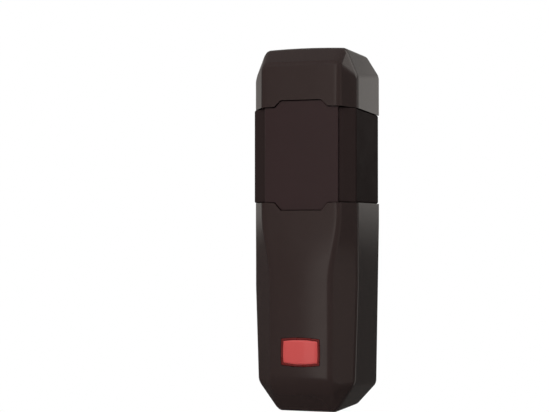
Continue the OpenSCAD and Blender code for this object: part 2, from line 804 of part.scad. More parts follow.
module head_bracket() {
    color("#46494c") difference() {
        union() {
            block(0, bracket_w, plate_t, web_front, bracket_low_z, bracket_high_z);
            for (z = [bracket_low_z, shelf_high_z]) upright(z, z + bracket_t) {
                translate([-bracket_w / 2, -pan_d]) square([bracket_w, pan_d - plate_t]);
                translate([0, -pan_d]) circle(bracket_w / 2);
            }
            both_sides() across(bracket_w / 2 - bracket_t, web_t) {
                polygon([[plate_t, bracket_high_z], [board_seat - free_gap, bracket_high_z],
                    [plate_t, bracket_high_z + gusset]]);
                polygon([[plate_t, bracket_low_z], [plate_t, bracket_low_z - gusset + part_gap],
                    [board_seat - free_gap, bracket_low_z]]);
            }
        }
        translate([0, -pan_d, bracket_low_z - over])
            cylinder(d = journal_d + 2 * run_gap, h = bracket_t + 2 * over);
        translate([0, -pan_d, shelf_high_z - over])
            cylinder(d = pan_pin_d + run_gap, h = bracket_t + 2 * over);
        both_sides() for (z = [bracket_low_z + bracket_screw_rise, bracket_high_z - bracket_screw_rise])
            peg(bracket_screw_x, z, small_screw_r + seat_gap, plate_t - over, web_front + over);
    }
}

module bracket_screws() {
    color("#b8bcc0") both_sides()
        for (z = [bracket_low_z + bracket_screw_rise, bracket_high_z - bracket_screw_rise])
            small_screw(bracket_screw_x, z, web_front, small_grip);
}

clip_high_z = bracket_low_z - seat_gap;
groove_r = journal_d / 2 - clip_groove;

module swivel_yoke() {
    color("#55585c") difference() {
        union() {
            translate([0, -pan_d, disc_low_z]) cylinder(d = yoke_d, h = yoke_t);
            translate([0, -pan_d, disc_high_z - yoke_t]) cylinder(d = yoke_d, h = yoke_t);
            translate([0, -pan_d, journal_end_z])
                cylinder(d = journal_d, h = disc_low_z - journal_end_z + yoke_t);
            both_sides() block(arm_x + arm_t / 2, arm_t, pan_d - arm_w / 2, pan_d + arm_w / 2,
                disc_low_z, disc_high_z);
        }
        translate([0, -pan_d, journal_end_z - over])
            cylinder(d = journal_bore, h = disc_low_z - journal_end_z + yoke_t + 2 * over);
        block(0, journal_bore, pan_d - yoke_d, pan_d, disc_low_z + yoke_t / 2, disc_low_z + yoke_t + over);
        translate([0, -pan_d, disc_high_z - yoke_t - over])
            cylinder(d = pan_pin_d + 2 * run_gap, h = yoke_t + 2 * over);
        translate([0, -pan_d, clip_high_z - clip_t - seat_gap]) difference() {
            cylinder(d = journal_d + over, h = clip_t + 2 * seat_gap);
            translate([0, 0, -over]) cylinder(r = groove_r, h = clip_t + 2 * over);
        }
        translate([0, -pan_d, eye_z]) rotate([0, 90, 0])
            cylinder(d = tilt_pin_d + 2 * run_gap, h = 2 * yoke_d, center = true);
    }
}

module pan_washer() {
    color("#e2e0da") translate([0, -pan_d, shelf_low_z]) difference() {
        cylinder(r = journal_d / 2 + free_gap + washer_w, h = washer_t);
        translate([0, 0, -over]) cylinder(r = journal_d / 2 + free_gap, h = washer_t + 2 * over);
    }
}

module pivot_clip() {
    color("#8f9499") translate([0, -pan_d, clip_high_z - clip_t]) difference() {
        cylinder(r = groove_r + clip_w, h = clip_t);
        translate([0, 0, -over]) cylinder(r = groove_r + run_gap, h = clip_t + 2 * over);
        translate([-groove_r / 2, -2 * groove_r - clip_w, -over])
            cube([groove_r, 2 * groove_r, clip_t + 2 * over]);
    }
}

pan_head_r = 3;
pan_head_t = 1;

module pan_pin() {
    color("#a9adb1") translate([0, -pan_d, 0]) union() {
        translate([0, 0, disc_high_z - yoke_t + seat_gap])
            cylinder(d = pan_pin_d, h = bracket_high_z - disc_high_z + yoke_t);
        translate([0, 0, bracket_high_z]) cylinder(r = pan_head_r, h = pan_head_t);
    }
}

// The barrel with its lens and sensor
lens_r = barrel_d / 2 - barrel_t;
seat_lip = 0.8;
seat_l = 3.4;
barrel_end = pan_d + barrel_front;
lens_edge_t = 1.4;
lens_rise = 1.3;
lens_from = barrel_end - seat_l;
ring_from = lens_from + lens_edge_t;
pin_boss_r = 3;
pin_boss_t = arm_space - seat_gap * 2;

// Round bar along the depth on the barrel's axis
module on_axis(r, from, to) {
    peg(0, eye_z, r, from, to);
}

module lens_barrel() {
    color("#2a2b2e") difference() {
        union() {
            on_axis(barrel_d / 2, pan_d - barrel_rear, barrel_end);
            translate([0, -pan_d, eye_z]) rotate([0, 90, 0])
                cylinder(r = pin_boss_r, h = barrel_d + 2 * pin_boss_t, center = true);
        }
        on_axis(lens_r - seat_lip, pan_d - barrel_rear - over, barrel_end + over);
        on_axis(lens_r, lens_from, barrel_end + over);
        on_axis(lens_r, pan_d - barrel_rear - over, sensor_back + sensor_t);
        translate([0, -pan_d, eye_z]) rotate([0, 90, 0])
            cylinder(d = tilt_pin_d + run_gap, h = 2 * barrel_d, center = true);
    }
}

module focus_lens() {
    dome_r = lens_r - seat_lip - seat_gap;
    ball = arc_radius(dome_r, lens_rise);
    color("#5a3038") union() {
        on_axis(lens_r - seat_gap, lens_from, ring_from - seat_gap);
        intersection() {
            on_axis(dome_r, lens_from, ring_from + lens_rise);
            translate([0, -ring_from - lens_rise + ball, eye_z]) sphere(ball, $fn = 96);
        }
    }
}

module lens_ring() {
    color("#34363a") difference() {
        union() {
            on_axis(lens_r - run_gap, ring_from, barrel_end);
            on_axis(barrel_d / 2, barrel_end, barrel_end + ring_lip);
        }
        on_axis(lens_r - seat_lip, ring_from - over, barrel_end + ring_lip + over);
        block(0, slot_w, barrel_end + ring_lip / 2, barrel_end + ring_lip + over,
            eye_z - barrel_d, eye_z + barrel_d);
    }
}

module sensor_board() {
    color("#1f5c3a") on_axis(lens_r - seat_gap, sensor_back, sensor_back + sensor_t);
}

diode_w = deep * 4.6;
diode_t = 1.6;
diode_r = 1.5;

module photodiode() {
    color("#17171b") union() {
        off_wall(sensor_back + sensor_t, sensor_back + sensor_t + diode_t)
            cut_corners(0, eye_z, diode_w, diode_w, chip_leg_w);
        translate([0, -sensor_back - sensor_t - diode_t, eye_z]) sphere(diode_r);
    }
}

module tilt_pins() {
    color("#a9adb1") both_sides() union() {
        translate([lens_r - seat_lip + seat_gap, -pan_d, eye_z]) rotate([0, 90, 0])
            cylinder(d = tilt_pin_d, h = arm_x + arm_t - lens_r + seat_lip);
        translate([arm_x + arm_t + seat_gap, -pan_d, eye_z]) rotate([0, 90, 0])
            cylinder(r = pin_head_r, h = pin_head_t);
    }
}

// The outer covers
top_levels = [half_h - tall * top_corner_h, half_h - tall * top_side_h,
    half_h - tall * top_slope_h, half_h];
cap_levels = concat([cap_edge_z], top_levels);
cap_inner_levels = concat([cap_edge_z - over], top_levels);
waist_steps = 8;
waist_levels = [for (i = [0:waist_steps]) waist_top_z + i * (waist_end_z - waist_top_z) / waist_steps];
lower_levels = concat([-half_h, -half_h + tall * bottom_side_h,
    -half_h + tall * bottom_slope_h, -half_h + tall * bottom_corner_h,
    straight_end_z], waist_levels);

notch_root_half = wide * notch_root;
notch_end_half = wide * notch_end;

// Edge of a tongue of the filter panel from left to right, made smaller by gap
function tongue(z, dir, reach, gap) =
    let (root = notch_root_half - gap, end = notch_end_half - gap, far = z + dir * (reach - gap))
    [[-root, z], [-end, far], [end, far], [root, z]];

module notch(z, dir, reach) {
    from = z - dir * over;
    off_wall(side_d, body_d + over) polygon(concat([[-notch_root_half, from]],
        tongue(z, dir, reach, 0), [[notch_root_half, from]]));
}

crown_r = arc_radius(wide * top_w / 2, top_crown);

module upper_cap() {
    color(skin_colour) difference() {
        union() {
            difference() {
                intersection() {
                    skin(cap_levels, 0, wall_gap);
                    translate([0, over, half_h - crown_r]) rotate([90, 0, 0])
                        cylinder(r = crown_r, h = body_d + 2 * over, $fn = 480);
                }
                skin(cap_inner_levels, skin_t, -over);
                upright(cap_edge_z - over, cap_edge_z + lap_h + seat_gap) plan(lap_t, -over);
                notch(cap_edge_z, 1, notch_up);
            }
            both_sides() peg(pin_x, pin_z, pin_r + run_gap + socket_t, socket_from, body_d - skin_t / 2);
        }
        both_sides() peg(pin_x, pin_z, pin_r + run_gap, socket_from - over, pin_top + over);
    }
}

panel_t = 1;
panel_back = body_d - panel_recess - panel_t;
panel_half_w = wide * panel_w / 2;
panel_step = 0.35;
window_half_w = side_half_w - window_recess;

// Plan of the window between the covers, with its walls moved in by t
module window_plan(t, back) {
    k = inset_corner(window_half_w, deep * window_side_d, panel_half_w + panel_step, panel_back, t);
    polygon([[-k[0][0], -back], [-k[0][0], -k[0][1]], [-k[1][0], -k[1][1]],
        [k[1][0], -k[1][1]], [k[0][0], -k[0][1]], [k[0][0], -back]]);
}

module optic_window() {
    color(window_colour) difference() {
        union() {
            upright(cover_edge_z + run_gap, cap_edge_z - run_gap) window_plan(0, wall_gap);
            upright(cover_edge_z - lap_h, cap_edge_z + lap_h) plan(lap_t + run_gap, wall_gap);
        }
        upright(cover_edge_z - lap_h - over, cap_edge_z + lap_h + over) plan(skin_t, -over);
        upright(cover_edge_z, cap_edge_z) window_plan(window_t, -over);
        off_wall(panel_back, body_d + over) {
            square([2 * panel_half_w, 2 * body_h], center = true);
        }
    }
}

module filter_panel() {
    low = cover_edge_z + run_gap;
    high = cap_edge_z - run_gap;
    top = tongue(high, 1, notch_up, seat_gap);
    color("#211b1b") off_wall(panel_back, panel_back + panel_t) polygon(concat(
        [[-panel_half_w, low]], tongue(low, -1, notch_down, seat_gap), [[panel_half_w, low]],
        [[panel_half_w, high]], [for (i = [len(top) - 1:-1:0]) top[i]], [[-panel_half_w, high]]));
}

badge_front = body_d + front_crown;
badge_back = badge_front - badge_t;
badge_side_bulge = badge_bulge / 3;
leg_t = 1.2;
leg_w = 3;
leg_x = well_r + well_t + free_gap + leg_t / 2;
face_sunk = 0.9;

// Outline of the badge, made smaller by t
module badge_outline(t) {
    w = badge_w / 2 - t;
    h = badge_h / 2 - t;
    tall = arc_radius(w, badge_bulge);
    wide = arc_radius(h - badge_bulge, badge_side_bulge);
    translate([0, badge_z]) intersection() {
        translate([0, h - tall]) circle(tall, $fn = 180);
        translate([0, tall - h]) circle(tall, $fn = 180);
        translate([w - wide, 0]) circle(wide, $fn = 180);
        translate([wide - w, 0]) circle(wide, $fn = 180);
    }
}

module lower_cover() {
    color(skin_colour) difference() {
        union() {
            difference() {
                skin(concat(lower_levels, [cover_edge_z]), 0, wall_gap);
                skin(concat(lower_levels, [cover_edge_z + over]), skin_t, -over);
                upright(cover_edge_z - lap_h - seat_gap, cover_edge_z + over) plan(lap_t, -over);
                notch(cover_edge_z, -1, notch_down);
            }
            peg(0, badge_z, well_r + well_t, screw_seat - screw_floor_t, body_d - skin_t / 2);
        }
        peg(0, badge_z, well_r, screw_seat, body_d + over);
        peg(0, badge_z, screw_d / 2 + seat_gap, screw_seat - screw_floor_t - over, screw_seat + over);
        peg(0, badge_z, screw_d / 2 + seat_gap + oring_room, screw_seat - oring_room, screw_seat + over);
        off_wall(badge_back, badge_front + over) badge_outline(-seat_gap);
        both_sides() block(leg_x, leg_t + 2 * seat_gap, badge_back - badge_leg - over, badge_front,
            badge_z - leg_w / 2 - seat_gap, badge_z + leg_w / 2 + seat_gap);
    }
}

module badge_frame() {
    color("#6d1d1a") union() {
        difference() {
            off_wall(badge_back, badge_front) badge_outline(0);
            off_wall(badge_front - face_sunk, badge_front + over) badge_outline(badge_rim);
        }
        both_sides() block(leg_x, leg_t, badge_back - badge_leg, badge_back + seat_gap,
            badge_z - leg_w / 2, badge_z + leg_w / 2);
    }
}

module badge_face() {
    ball = arc_radius(badge_w / 2, badge_proud);
    color("#c62f31") intersection() {
        off_wall(badge_front - face_sunk, badge_front + badge_proud) badge_outline(badge_rim + run_gap);
        translate([0, ball - badge_front - badge_proud, badge_z]) sphere(ball, $fn = 360);
    }
}

module cover_screw() {
    color("#b8bcc0") difference() {
        union() {
            peg(0, badge_z, screw_head_d / 2, screw_seat, screw_seat + screw_head_t);
            peg(0, badge_z, screw_d / 2, screw_seat - screw_l, screw_seat + seat_gap);
        }
        for (turn = [0, 90]) translate([0, 0, badge_z]) rotate([0, turn, 0])
            block(0, screw_head_d / 2, screw_seat + screw_head_t / 2, screw_seat + screw_head_t + over,
                -slot_w / 2, slot_w / 2);
    }
}

module screw_seal() {
    color("#26262a") translate([0, oring_room / 2 - screw_seat, badge_z]) rotate([90, 0, 0])
        rotate_extrude() translate([screw_d / 2 + seat_gap + oring_room / 2, 0]) circle(oring_r - run_gap);
}

rear_base();
base_seal();
cable_grommet();
main_board();
board_screws();
terminal_block();
terminal_clamps();
terminal_screw(0);  // terminal_screw_1
terminal_screw(1);  // terminal_screw_2
terminal_screw(2);  // terminal_screw_3
terminal_screw(3);  // terminal_screw_4
terminal_screw(4);  // terminal_screw_5
relay();
filter_capacitor();
varistor();
bridge_rectifier();
controller_chip();
smd_parts();
status_led();
jumper_header();
jumper_link();
lead_connector();
board_leads();
head_bracket();
bracket_screws();
swivel_yoke();
pan_washer();
pivot_clip();
pan_pin();
head_leads();
lens_barrel();
lens_ring();
focus_lens();
sensor_board();
photodiode();
tilt_pins();
upper_cap();
optic_window();
filter_panel();
lower_cover();
badge_frame();
badge_face();
cover_screw();
screw_seal();
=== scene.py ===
"""Looks of a gate safety photocell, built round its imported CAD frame.

The wall is the plane y = 0, the front looks along -y and z points up. Sizes in
this file are millimetres and become metres when a shape turns into a piece.
"""

from __future__ import annotations

import logging
import math
from collections.abc import Callable, Iterable, Sequence
from dataclasses import dataclass
from enum import Enum
from typing import Any

import bmesh
import bpy
from mathutils import Matrix, Vector

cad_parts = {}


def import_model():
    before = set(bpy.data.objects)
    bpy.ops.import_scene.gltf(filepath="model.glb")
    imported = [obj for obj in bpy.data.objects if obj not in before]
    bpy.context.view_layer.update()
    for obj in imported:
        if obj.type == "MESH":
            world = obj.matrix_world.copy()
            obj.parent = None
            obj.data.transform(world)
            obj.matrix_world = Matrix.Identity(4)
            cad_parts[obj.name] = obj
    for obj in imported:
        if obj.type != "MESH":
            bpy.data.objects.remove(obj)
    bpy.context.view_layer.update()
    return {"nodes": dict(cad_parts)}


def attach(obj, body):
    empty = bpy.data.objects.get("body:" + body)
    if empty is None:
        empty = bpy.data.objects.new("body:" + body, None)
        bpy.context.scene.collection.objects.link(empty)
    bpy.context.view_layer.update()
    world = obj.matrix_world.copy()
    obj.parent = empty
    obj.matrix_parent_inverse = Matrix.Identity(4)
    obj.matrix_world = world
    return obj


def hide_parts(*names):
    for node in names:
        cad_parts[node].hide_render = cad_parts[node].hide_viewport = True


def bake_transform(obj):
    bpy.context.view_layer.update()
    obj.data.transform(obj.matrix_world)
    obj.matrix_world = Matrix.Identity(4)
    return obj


MM = 0.001
# Angles in degrees past which two faces meet in an edge: on a cover, on a rim or
# plate, and on a kept CAD shape.
FACE_ANGLE = 14
RIM_ANGLE = 40
CAD_ANGLE = 38
# How far a tool reaches past the face that it cuts.
OVER = 1.0
# How near a vertex lies to a plane that it belongs to.
NEAR = 0.01
# Sockets of a mix of two colours: its inputs and its colour output.
SHARE, FIRST, SECOND = 0, 6, 7
MIXED = 2
LOG = logging.getLogger("photocell")

Row = list[Vector]
EdgeTest = Callable[[bmesh.types.BMEdge], bool]


class Body(Enum):
    """Moving bodies of the part."""

    ROOT = "root"
    HEAD = "swivel_head"
    BARREL = "barrel"
    COVER = "front_cover"
    BADGE = "badge"
    COVER_SCREW = "cover_screw"
    JUMPER = "jumper"


class Step(Enum):
    """How a tool shape changes a piece."""

    CUT = "DIFFERENCE"
    JOIN = "UNION"


class Skin(Enum):
    """Material index of a shell's faces."""

    OUTER = 0
    RIM = 1
    INNER = 2


# ---------------------------------------------------------------- finishes


def to_linear(code: str) -> tuple[float, float, float, float]:
    """Turns an sRGB hex value into linear light.

    Args:
        code: Colour such as "#2d2220".

    Returns:
        Red, green, blue and an alpha of one.
    """
    shares = [int(code[i : i + 2], 16) / 255 for i in (1, 3, 5)]
    red, green, blue = (v / 12.92 if v <= 0.04045 else ((v + 0.055) / 1.055) ** 2.4 for v in shares)
    return red, green, blue, 1.0


def add(
    tree: bpy.types.NodeTree, kind: str, values: dict[Any, Any] | None = None, **settings: Any
) -> bpy.types.Node:
    """Adds a node with its settings and links.

    Args:
        tree: Node tree that gets the node.
        kind: Blender's name of the node type, after its leading ShaderNode.
        values: Value, or output to link, for each input by name or index.
        **settings: Properties of the node itself.

    Returns:
        The new node.
    """
    node = tree.nodes.new(f"ShaderNode{kind}")
    for key, value in settings.items():
        setattr(node, key, value)
    for socket, value in (values or {}).items():
        if isinstance(value, bpy.types.NodeSocket):
            tree.links.new(value, node.inputs[socket])
        else:
            node.inputs[socket].default_value = value
    return node


def cleared(owner: bpy.types.Material | bpy.types.World) -> bpy.types.NodeTree:
    """Turns on the nodes of a material or world and returns its emptied tree."""
    owner.use_nodes = True
    owner.node_tree.nodes.clear()
    return owner.node_tree


def per_metre(spacing: float) -> float:
    """Returns the texture scale that repeats a pattern every so many millimetres."""
    return 1 / (spacing * MM)


@dataclass(frozen=True)
class Finish:
    """What every finish has, with the record's slot that it stands for."""

    name: str
    slot: str
    colour: str
    roughness: float

    def material(self) -> bpy.types.Material:
        """Returns the Blender material, which is made once."""
        made = bpy.data.materials.get(self.name)
        if made is None:
            made = bpy.data.materials.new(self.name)
            made.diffuse_color = to_linear(self.colour)
            tree = cleared(made)
            add(tree, "OutputMaterial", {"Surface": self.shader(tree).outputs[0]})
        return made

    def shader(self, tree: bpy.types.NodeTree) -> bpy.types.Node:
        """Builds the surface. Each kind of finish has its own."""
        raise NotImplementedError


@dataclass(frozen=True)
class Moulded(Finish):
    """Injection moulded plastic: an even colour with faint flow clouds and mould texture."""

    shade: str = "#202020"
    spread: float = 0.04
    grain: float = 0.5
    relief: float = 0.002
    cloud: float = 22.0
    specular: float = 0.5
    ior: float = 1.5
    coat: float = 0.0

    def shader(self, tree: bpy.types.NodeTree) -> bpy.types.Node:
        """Returns the plastic's shader.

        Args:
            tree: Node tree of the material.
        """
        spot = add(tree, "TexCoord").outputs["Object"]
        clouds, smudges, texture = (
            add(tree, "TexNoise", {
                "Vector": spot, "Scale": per_metre(size), "Detail": detail, "Roughness": rough,
            }).outputs["Fac"]
            for size, detail, rough in (
                (self.cloud, 3.0, 0.55), (self.cloud / 3, 4.0, 0.5), (self.grain, 2.0, 0.5)
            )
        )
        tint = add(tree, "Mix", {
            SHARE: clouds, FIRST: to_linear(self.colour), SECOND: to_linear(self.shade),
        }, data_type="RGBA")
        gloss = add(tree, "MapRange", {
            "Value": smudges,
            "From Min": 0.3,
            "From Max": 0.7,
            "To Min": self.roughness - self.spread,
            "To Max": self.roughness + self.spread,
        })
        relief = add(tree, "Bump", {"Distance": self.relief * MM, "Height": texture})
        return add(tree, "BsdfPrincipled", {
            "Base Color": tint.outputs[MIXED],
            "Roughness": gloss.outputs["Result"],
            "Normal": relief.outputs["Normal"],
            "Specular IOR Level": self.specular,
            "IOR": self.ior,
            "Coat Weight": self.coat,
        })


@dataclass(frozen=True)
class Plated(Finish):
    """Plated steel or brass: bright metal with fine drawn lines and dull spots."""

    dull: str = "#8d8f90"
    line: float = 0.25
    line_depth: float = 0.004
    stretch: float = 0.12
    blotch: float = 2.5

    def shader(self, tree: bpy.types.NodeTree) -> bpy.types.Node:
        """Returns the metal's shader.

        Args:
            tree: Node tree of the material.
        """
        spot = add(tree, "TexCoord").outputs["Object"]
        stretched = add(
            tree, "Mapping", {"Vector": spot, "Scale": (1.0, self.stretch, 1.0)}
        ).outputs["Vector"]
        lines = add(
            tree, "TexNoise", {"Vector": stretched, "Scale": per_metre(self.line), "Detail": 3.0}
        )
        spots = add(
            tree, "TexNoise", {"Vector": spot, "Scale": per_metre(self.blotch), "Detail": 4.0}
        )
        tint = add(tree, "Mix", {
            SHARE: spots.outputs["Fac"],
            FIRST: to_linear(self.colour),
            SECOND: to_linear(self.dull),
        }, data_type="RGBA")
        relief = add(
            tree, "Bump", {"Distance": self.line_depth * MM, "Height": lines.outputs["Fac"]}
        )
        return add(tree, "BsdfPrincipled", {
            "Base Color": tint.outputs[MIXED],
            "Metallic": 1.0,
            "Roughness": self.roughness,
            "Normal": relief.outputs["Normal"],
        })


@dataclass(frozen=True)
class SolderMask(Finish):
    """Printed circuit board: green lacquer over copper tracks, with tinned dots."""

    track: str = "#2c7a4e"
    solder: str = "#b9bdbb"
    track_pitch: float = 2.54
    track_depth: float = 0.03
    dot_pitch: float = 2.54
    dot_size: float = 0.16

    def shader(self, tree: bpy.types.NodeTree) -> bpy.types.Node:
        """Returns the board's shader.

        Args:
            tree: Node tree of the material.
        """
        spot = add(tree, "TexCoord").outputs["Object"]
        flat = add(
            tree, "Mapping", {"Vector": spot, "Rotation": (math.radians(90), 0.0, 0.0)}
        ).outputs["Vector"]
        tracks = add(tree, "TexBrick", {
            "Vector": flat,
            "Scale": per_metre(self.track_pitch),
            "Mortar Size": 0.11,
            "Mortar Smooth": 0.1,
            "Brick Width": 2.6,
            "Row Height": 0.5,
            "Color1": to_linear(self.colour),
            "Color2": to_linear(self.colour),
            "Mortar": to_linear(self.track),
        })
        dots = add(tree, "TexVoronoi", {
            "Vector": flat, "Scale": per_metre(self.dot_pitch), "Randomness": 0.35,
        }, voronoi_dimensions="2D")
        dot = add(
            tree, "Math", {0: dots.outputs["Distance"], 1: self.dot_size}, operation="LESS_THAN"
        )
        tint = add(tree, "Mix", {
            SHARE: dot.outputs[0], FIRST: tracks.outputs["Color"], SECOND: to_linear(self.solder),
        }, data_type="RGBA")
        relief = add(
            tree, "Bump", {"Distance": self.track_depth * MM, "Height": tracks.outputs["Fac"]}
        )
        return add(tree, "BsdfPrincipled", {
            "Base Color": tint.outputs[MIXED],
            "Metallic": dot.outputs[0],
            "Roughness": self.roughness,
            "Normal": relief.outputs["Normal"],
        })


@dataclass(frozen=True)
class ClearPlastic(Finish):
    """Dyed clear plastic, cast or moulded, that light passes through."""

    depth: str = "#401015"
    transmission: float = 0.8
    streak: float = 4.0

    def shader(self, tree: bpy.types.NodeTree) -> bpy.types.Node:
        """Returns the clear plastic's shader.

        Args:
            tree: Node tree of the material.
        """
        spot = add(tree, "TexCoord").outputs["Object"]
        streaks = add(
            tree, "TexNoise", {"Vector": spot, "Scale": per_metre(self.streak), "Detail": 2.0}
        )
        tint = add(tree, "Mix", {
            SHARE: streaks.outputs["Fac"],
            FIRST: to_linear(self.colour),
            SECOND: to_linear(self.depth),
        }, data_type="RGBA")
        return add(tree, "BsdfPrincipled", {
            "Base Color": tint.outputs[MIXED],
            "Roughness": self.roughness,
            "Transmission Weight": self.transmission,
        })


# Glossy ABS from a polished mould: the near-black brown reads by its reflections.
COVER = Moulded(
    "abs_gloss_brown", "cover_plastic", "#2c211f", 0.2, shade="#2f2422", spread=0.02,
    grain=0.9, relief=0.0006,
)
# The same ABS inside the covers, where the mould is not polished.
COVER_INSIDE = Moulded(
    "abs_satin_brown", "cover_plastic", "#2b2322", 0.5, shade="#302726", grain=0.35, relief=0.006
)
# Polycarbonate that passes infrared: smoked, finely eroded surface on its sides.
WINDOW = Moulded(
    "smoked_polycarbonate", "window_plastic", "#2c2322", 0.5, shade="#292120", grain=0.35,
    relief=0.0015, ior=1.07,
)
# The filter panel is the same resin from a smoother mould, with a redder cast.
FILTER = Moulded(
    "infrared_filter_panel", "filter_plastic", "#2e2020", 0.3, shade="#2b1e1e", spread=0.02,
    grain=0.8, relief=0.0005, specular=0.35,
)
# Dark red ABS round the badge, moulded and glossy.
BADGE_RIM = Moulded(
    "abs_dark_red", "badge_frame_plastic", "#601614", 0.28, shade="#551412", grain=0.6, relief=0.001
)
# Cast resin dome: a smooth red under a clear skin.
BADGE_FACE = Moulded(
    "cast_resin_red", "badge_face_resin", "#bf4b49", 0.3, shade="#b94644", spread=0.02,
    grain=1.2, relief=0.0006, coat=0.3,
)
# Glass filled nylon of the rear base: grey, dull, with a coarse spark texture.
BASE = Moulded(
    "nylon_grey_matt", "base_plastic", "#3c3f43", 0.62, shade="#45484c", spread=0.08,
    grain=0.45, relief=0.02,
)
# Acetal of the bracket and yoke: satin grey.
BRACKET = Moulded(
    "acetal_grey", "bracket_plastic", "#494b4e", 0.45, shade="#424447", spread=0.05,
    grain=0.5, relief=0.008,
)
# Black polycarbonate of the barrel, finely textured against stray light.
BARREL = Moulded(
    "polycarbonate_black", "barrel_plastic", "#1b1c1e", 0.5, shade="#222326", grain=0.4, relief=0.01
)
# Cellular rubber of the seals.
RUBBER = Moulded(
    "epdm_rubber", "seal_rubber", "#1a1a1b", 0.8, shade="#242425", grain=0.3, relief=0.02,
    specular=0.25,
)
# Epoxy glass board: copper tracks under green solder mask.
BOARD = SolderMask("epoxy_glass_board", "board_green", "#1d5836", 0.3)
# Zinc plated steel of screws and pins.
ZINC = Plated("zinc_plated_steel", "steel", "#c4c7ca", 0.32, dull="#9da1a5")
# Nickel plated brass of the wire clamps.
NICKEL = Plated("nickel_plated_brass", "clamp_metal", "#cfccc4", 0.22, dull="#aca89f")
# Polyamide of the terminal block.
TERMINAL = Moulded(
    "polyamide_green", "terminal_green", "#2c7c4d", 0.42, shade="#266f45", grain=0.5, relief=0.006
)
# Sealed relay case: blue thermoplastic polyester.
RELAY = Moulded(
    "polyester_blue", "relay_blue", "#2a4d9b", 0.38, shade="#27478f", grain=0.5, relief=0.005
)
# Shrunk vinyl sleeve of the capacitor.
SLEEVE = Moulded(
    "vinyl_sleeve_blue", "can_sleeve", "#2c2e58", 0.28, shade="#26284e", grain=1.5, relief=0.01
)
# Dipped epoxy, orange peel from its own flow.
DIPPED = Moulded(
    "dipped_epoxy", "varistor_coat", "#c5772e", 0.35, shade="#b96d28", grain=0.9, relief=0.03
)
# Transfer moulded epoxy of the chips.
CHIP = Moulded(
    "epoxy_black", "chip_black", "#1c1c1e", 0.55, shade="#232325", grain=0.25, relief=0.01
)
# Fired ceramic bodies of the small surface-mount parts.
CERAMIC = Moulded(
    "ceramic_dark", "smd_body", "#3a3530", 0.5, shade="#4a443c", grain=0.3, relief=0.01
)
# Clear red epoxy of the status lamp.
LED = ClearPlastic("epoxy_red_clear", "led_red", "#d8362f", 0.12, depth="#b3211d", transmission=0.5)
# Black nylon of the jumper's header.
HEADER = Moulded(
    "nylon_black", "header_black", "#212124", 0.5, shade="#29292c", grain=0.4, relief=0.006
)
# Red polyester of the jumper link.
JUMPER = Moulded(
    "polyester_red", "jumper_red", "#c23a2f", 0.35, shade="#b5342a", grain=0.5, relief=0.004
)
# Undyed nylon of the lead connector.
PLUG = Moulded(
    "nylon_natural", "connector_white", "#dcd7c6", 0.45, shade="#d2ccb9", grain=0.5, relief=0.006
)
# Soft vinyl insulation of the leads.
LEAD = Moulded("vinyl_red", "lead_red", "#b23a31", 0.4, shade="#a5332b", grain=0.8, relief=0.004)
# White acetal of the washer under the yoke.
WASHER = Moulded(
    "acetal_white", "washer_white", "#dfddd7", 0.4, shade="#d5d2cb", grain=0.5, relief=0.004
)
# Cast acrylic of the lens, dyed dark red against daylight.
LENS = ClearPlastic("acrylic_dark_red", "lens_acrylic", "#7d2b35", 0.06, depth="#5d1f28")


# ---------------------------------------------------------------- shapes


def point(x: float, depth: float, z: float) -> Vector:
    """Returns a point by its depth, which counts from the wall to the front."""
    return Vector((x, -depth, z))


def between(table: Sequence[tuple[float, float]], at: float) -> float:
    """Reads a table of pairs by straight lines between its rows.

    Args:
        table: Pairs of place and value, by rising place.
        at: Place to read.

    Returns:
        The value there, held at the table's ends.
    """
    if at <= table[0][0]:
        return table[0][1]
    for (low, start), (high, end) in zip(table, table[1:]):
        if at <= high:
            return start + (end - start) * (at - low) / (high - low)
    return table[-1][1]


def smooth(share: float) -> float:
    """Returns a share from 0 to 1, eased at both ends."""
    held = max(0.0, min(1.0, share))
    return held * held * (3 - 2 * held)


def sharper(degrees: float) -> EdgeTest:
    """Returns a test for edges whose faces meet at more than this angle."""
    limit = math.radians(degrees)
    return lambda edge: edge.is_manifold and edge.calc_face_angle(0.0) > limit


def on_front(depth: float) -> EdgeTest:
    """Returns a test for the sharp edges in a front face at this depth."""
    sharp = sharper(RIM_ANGLE)
    return lambda edge: sharp(edge) and all(v.co.y < NEAR - depth for v in edge.verts)


def add_object(name: str, data: bpy.types.ID) -> bpy.types.Object:
    """Returns a new object of the scene that holds this data."""
    made = bpy.data.objects.new(name, data)
    bpy.context.scene.collection.objects.link(made)
    return made


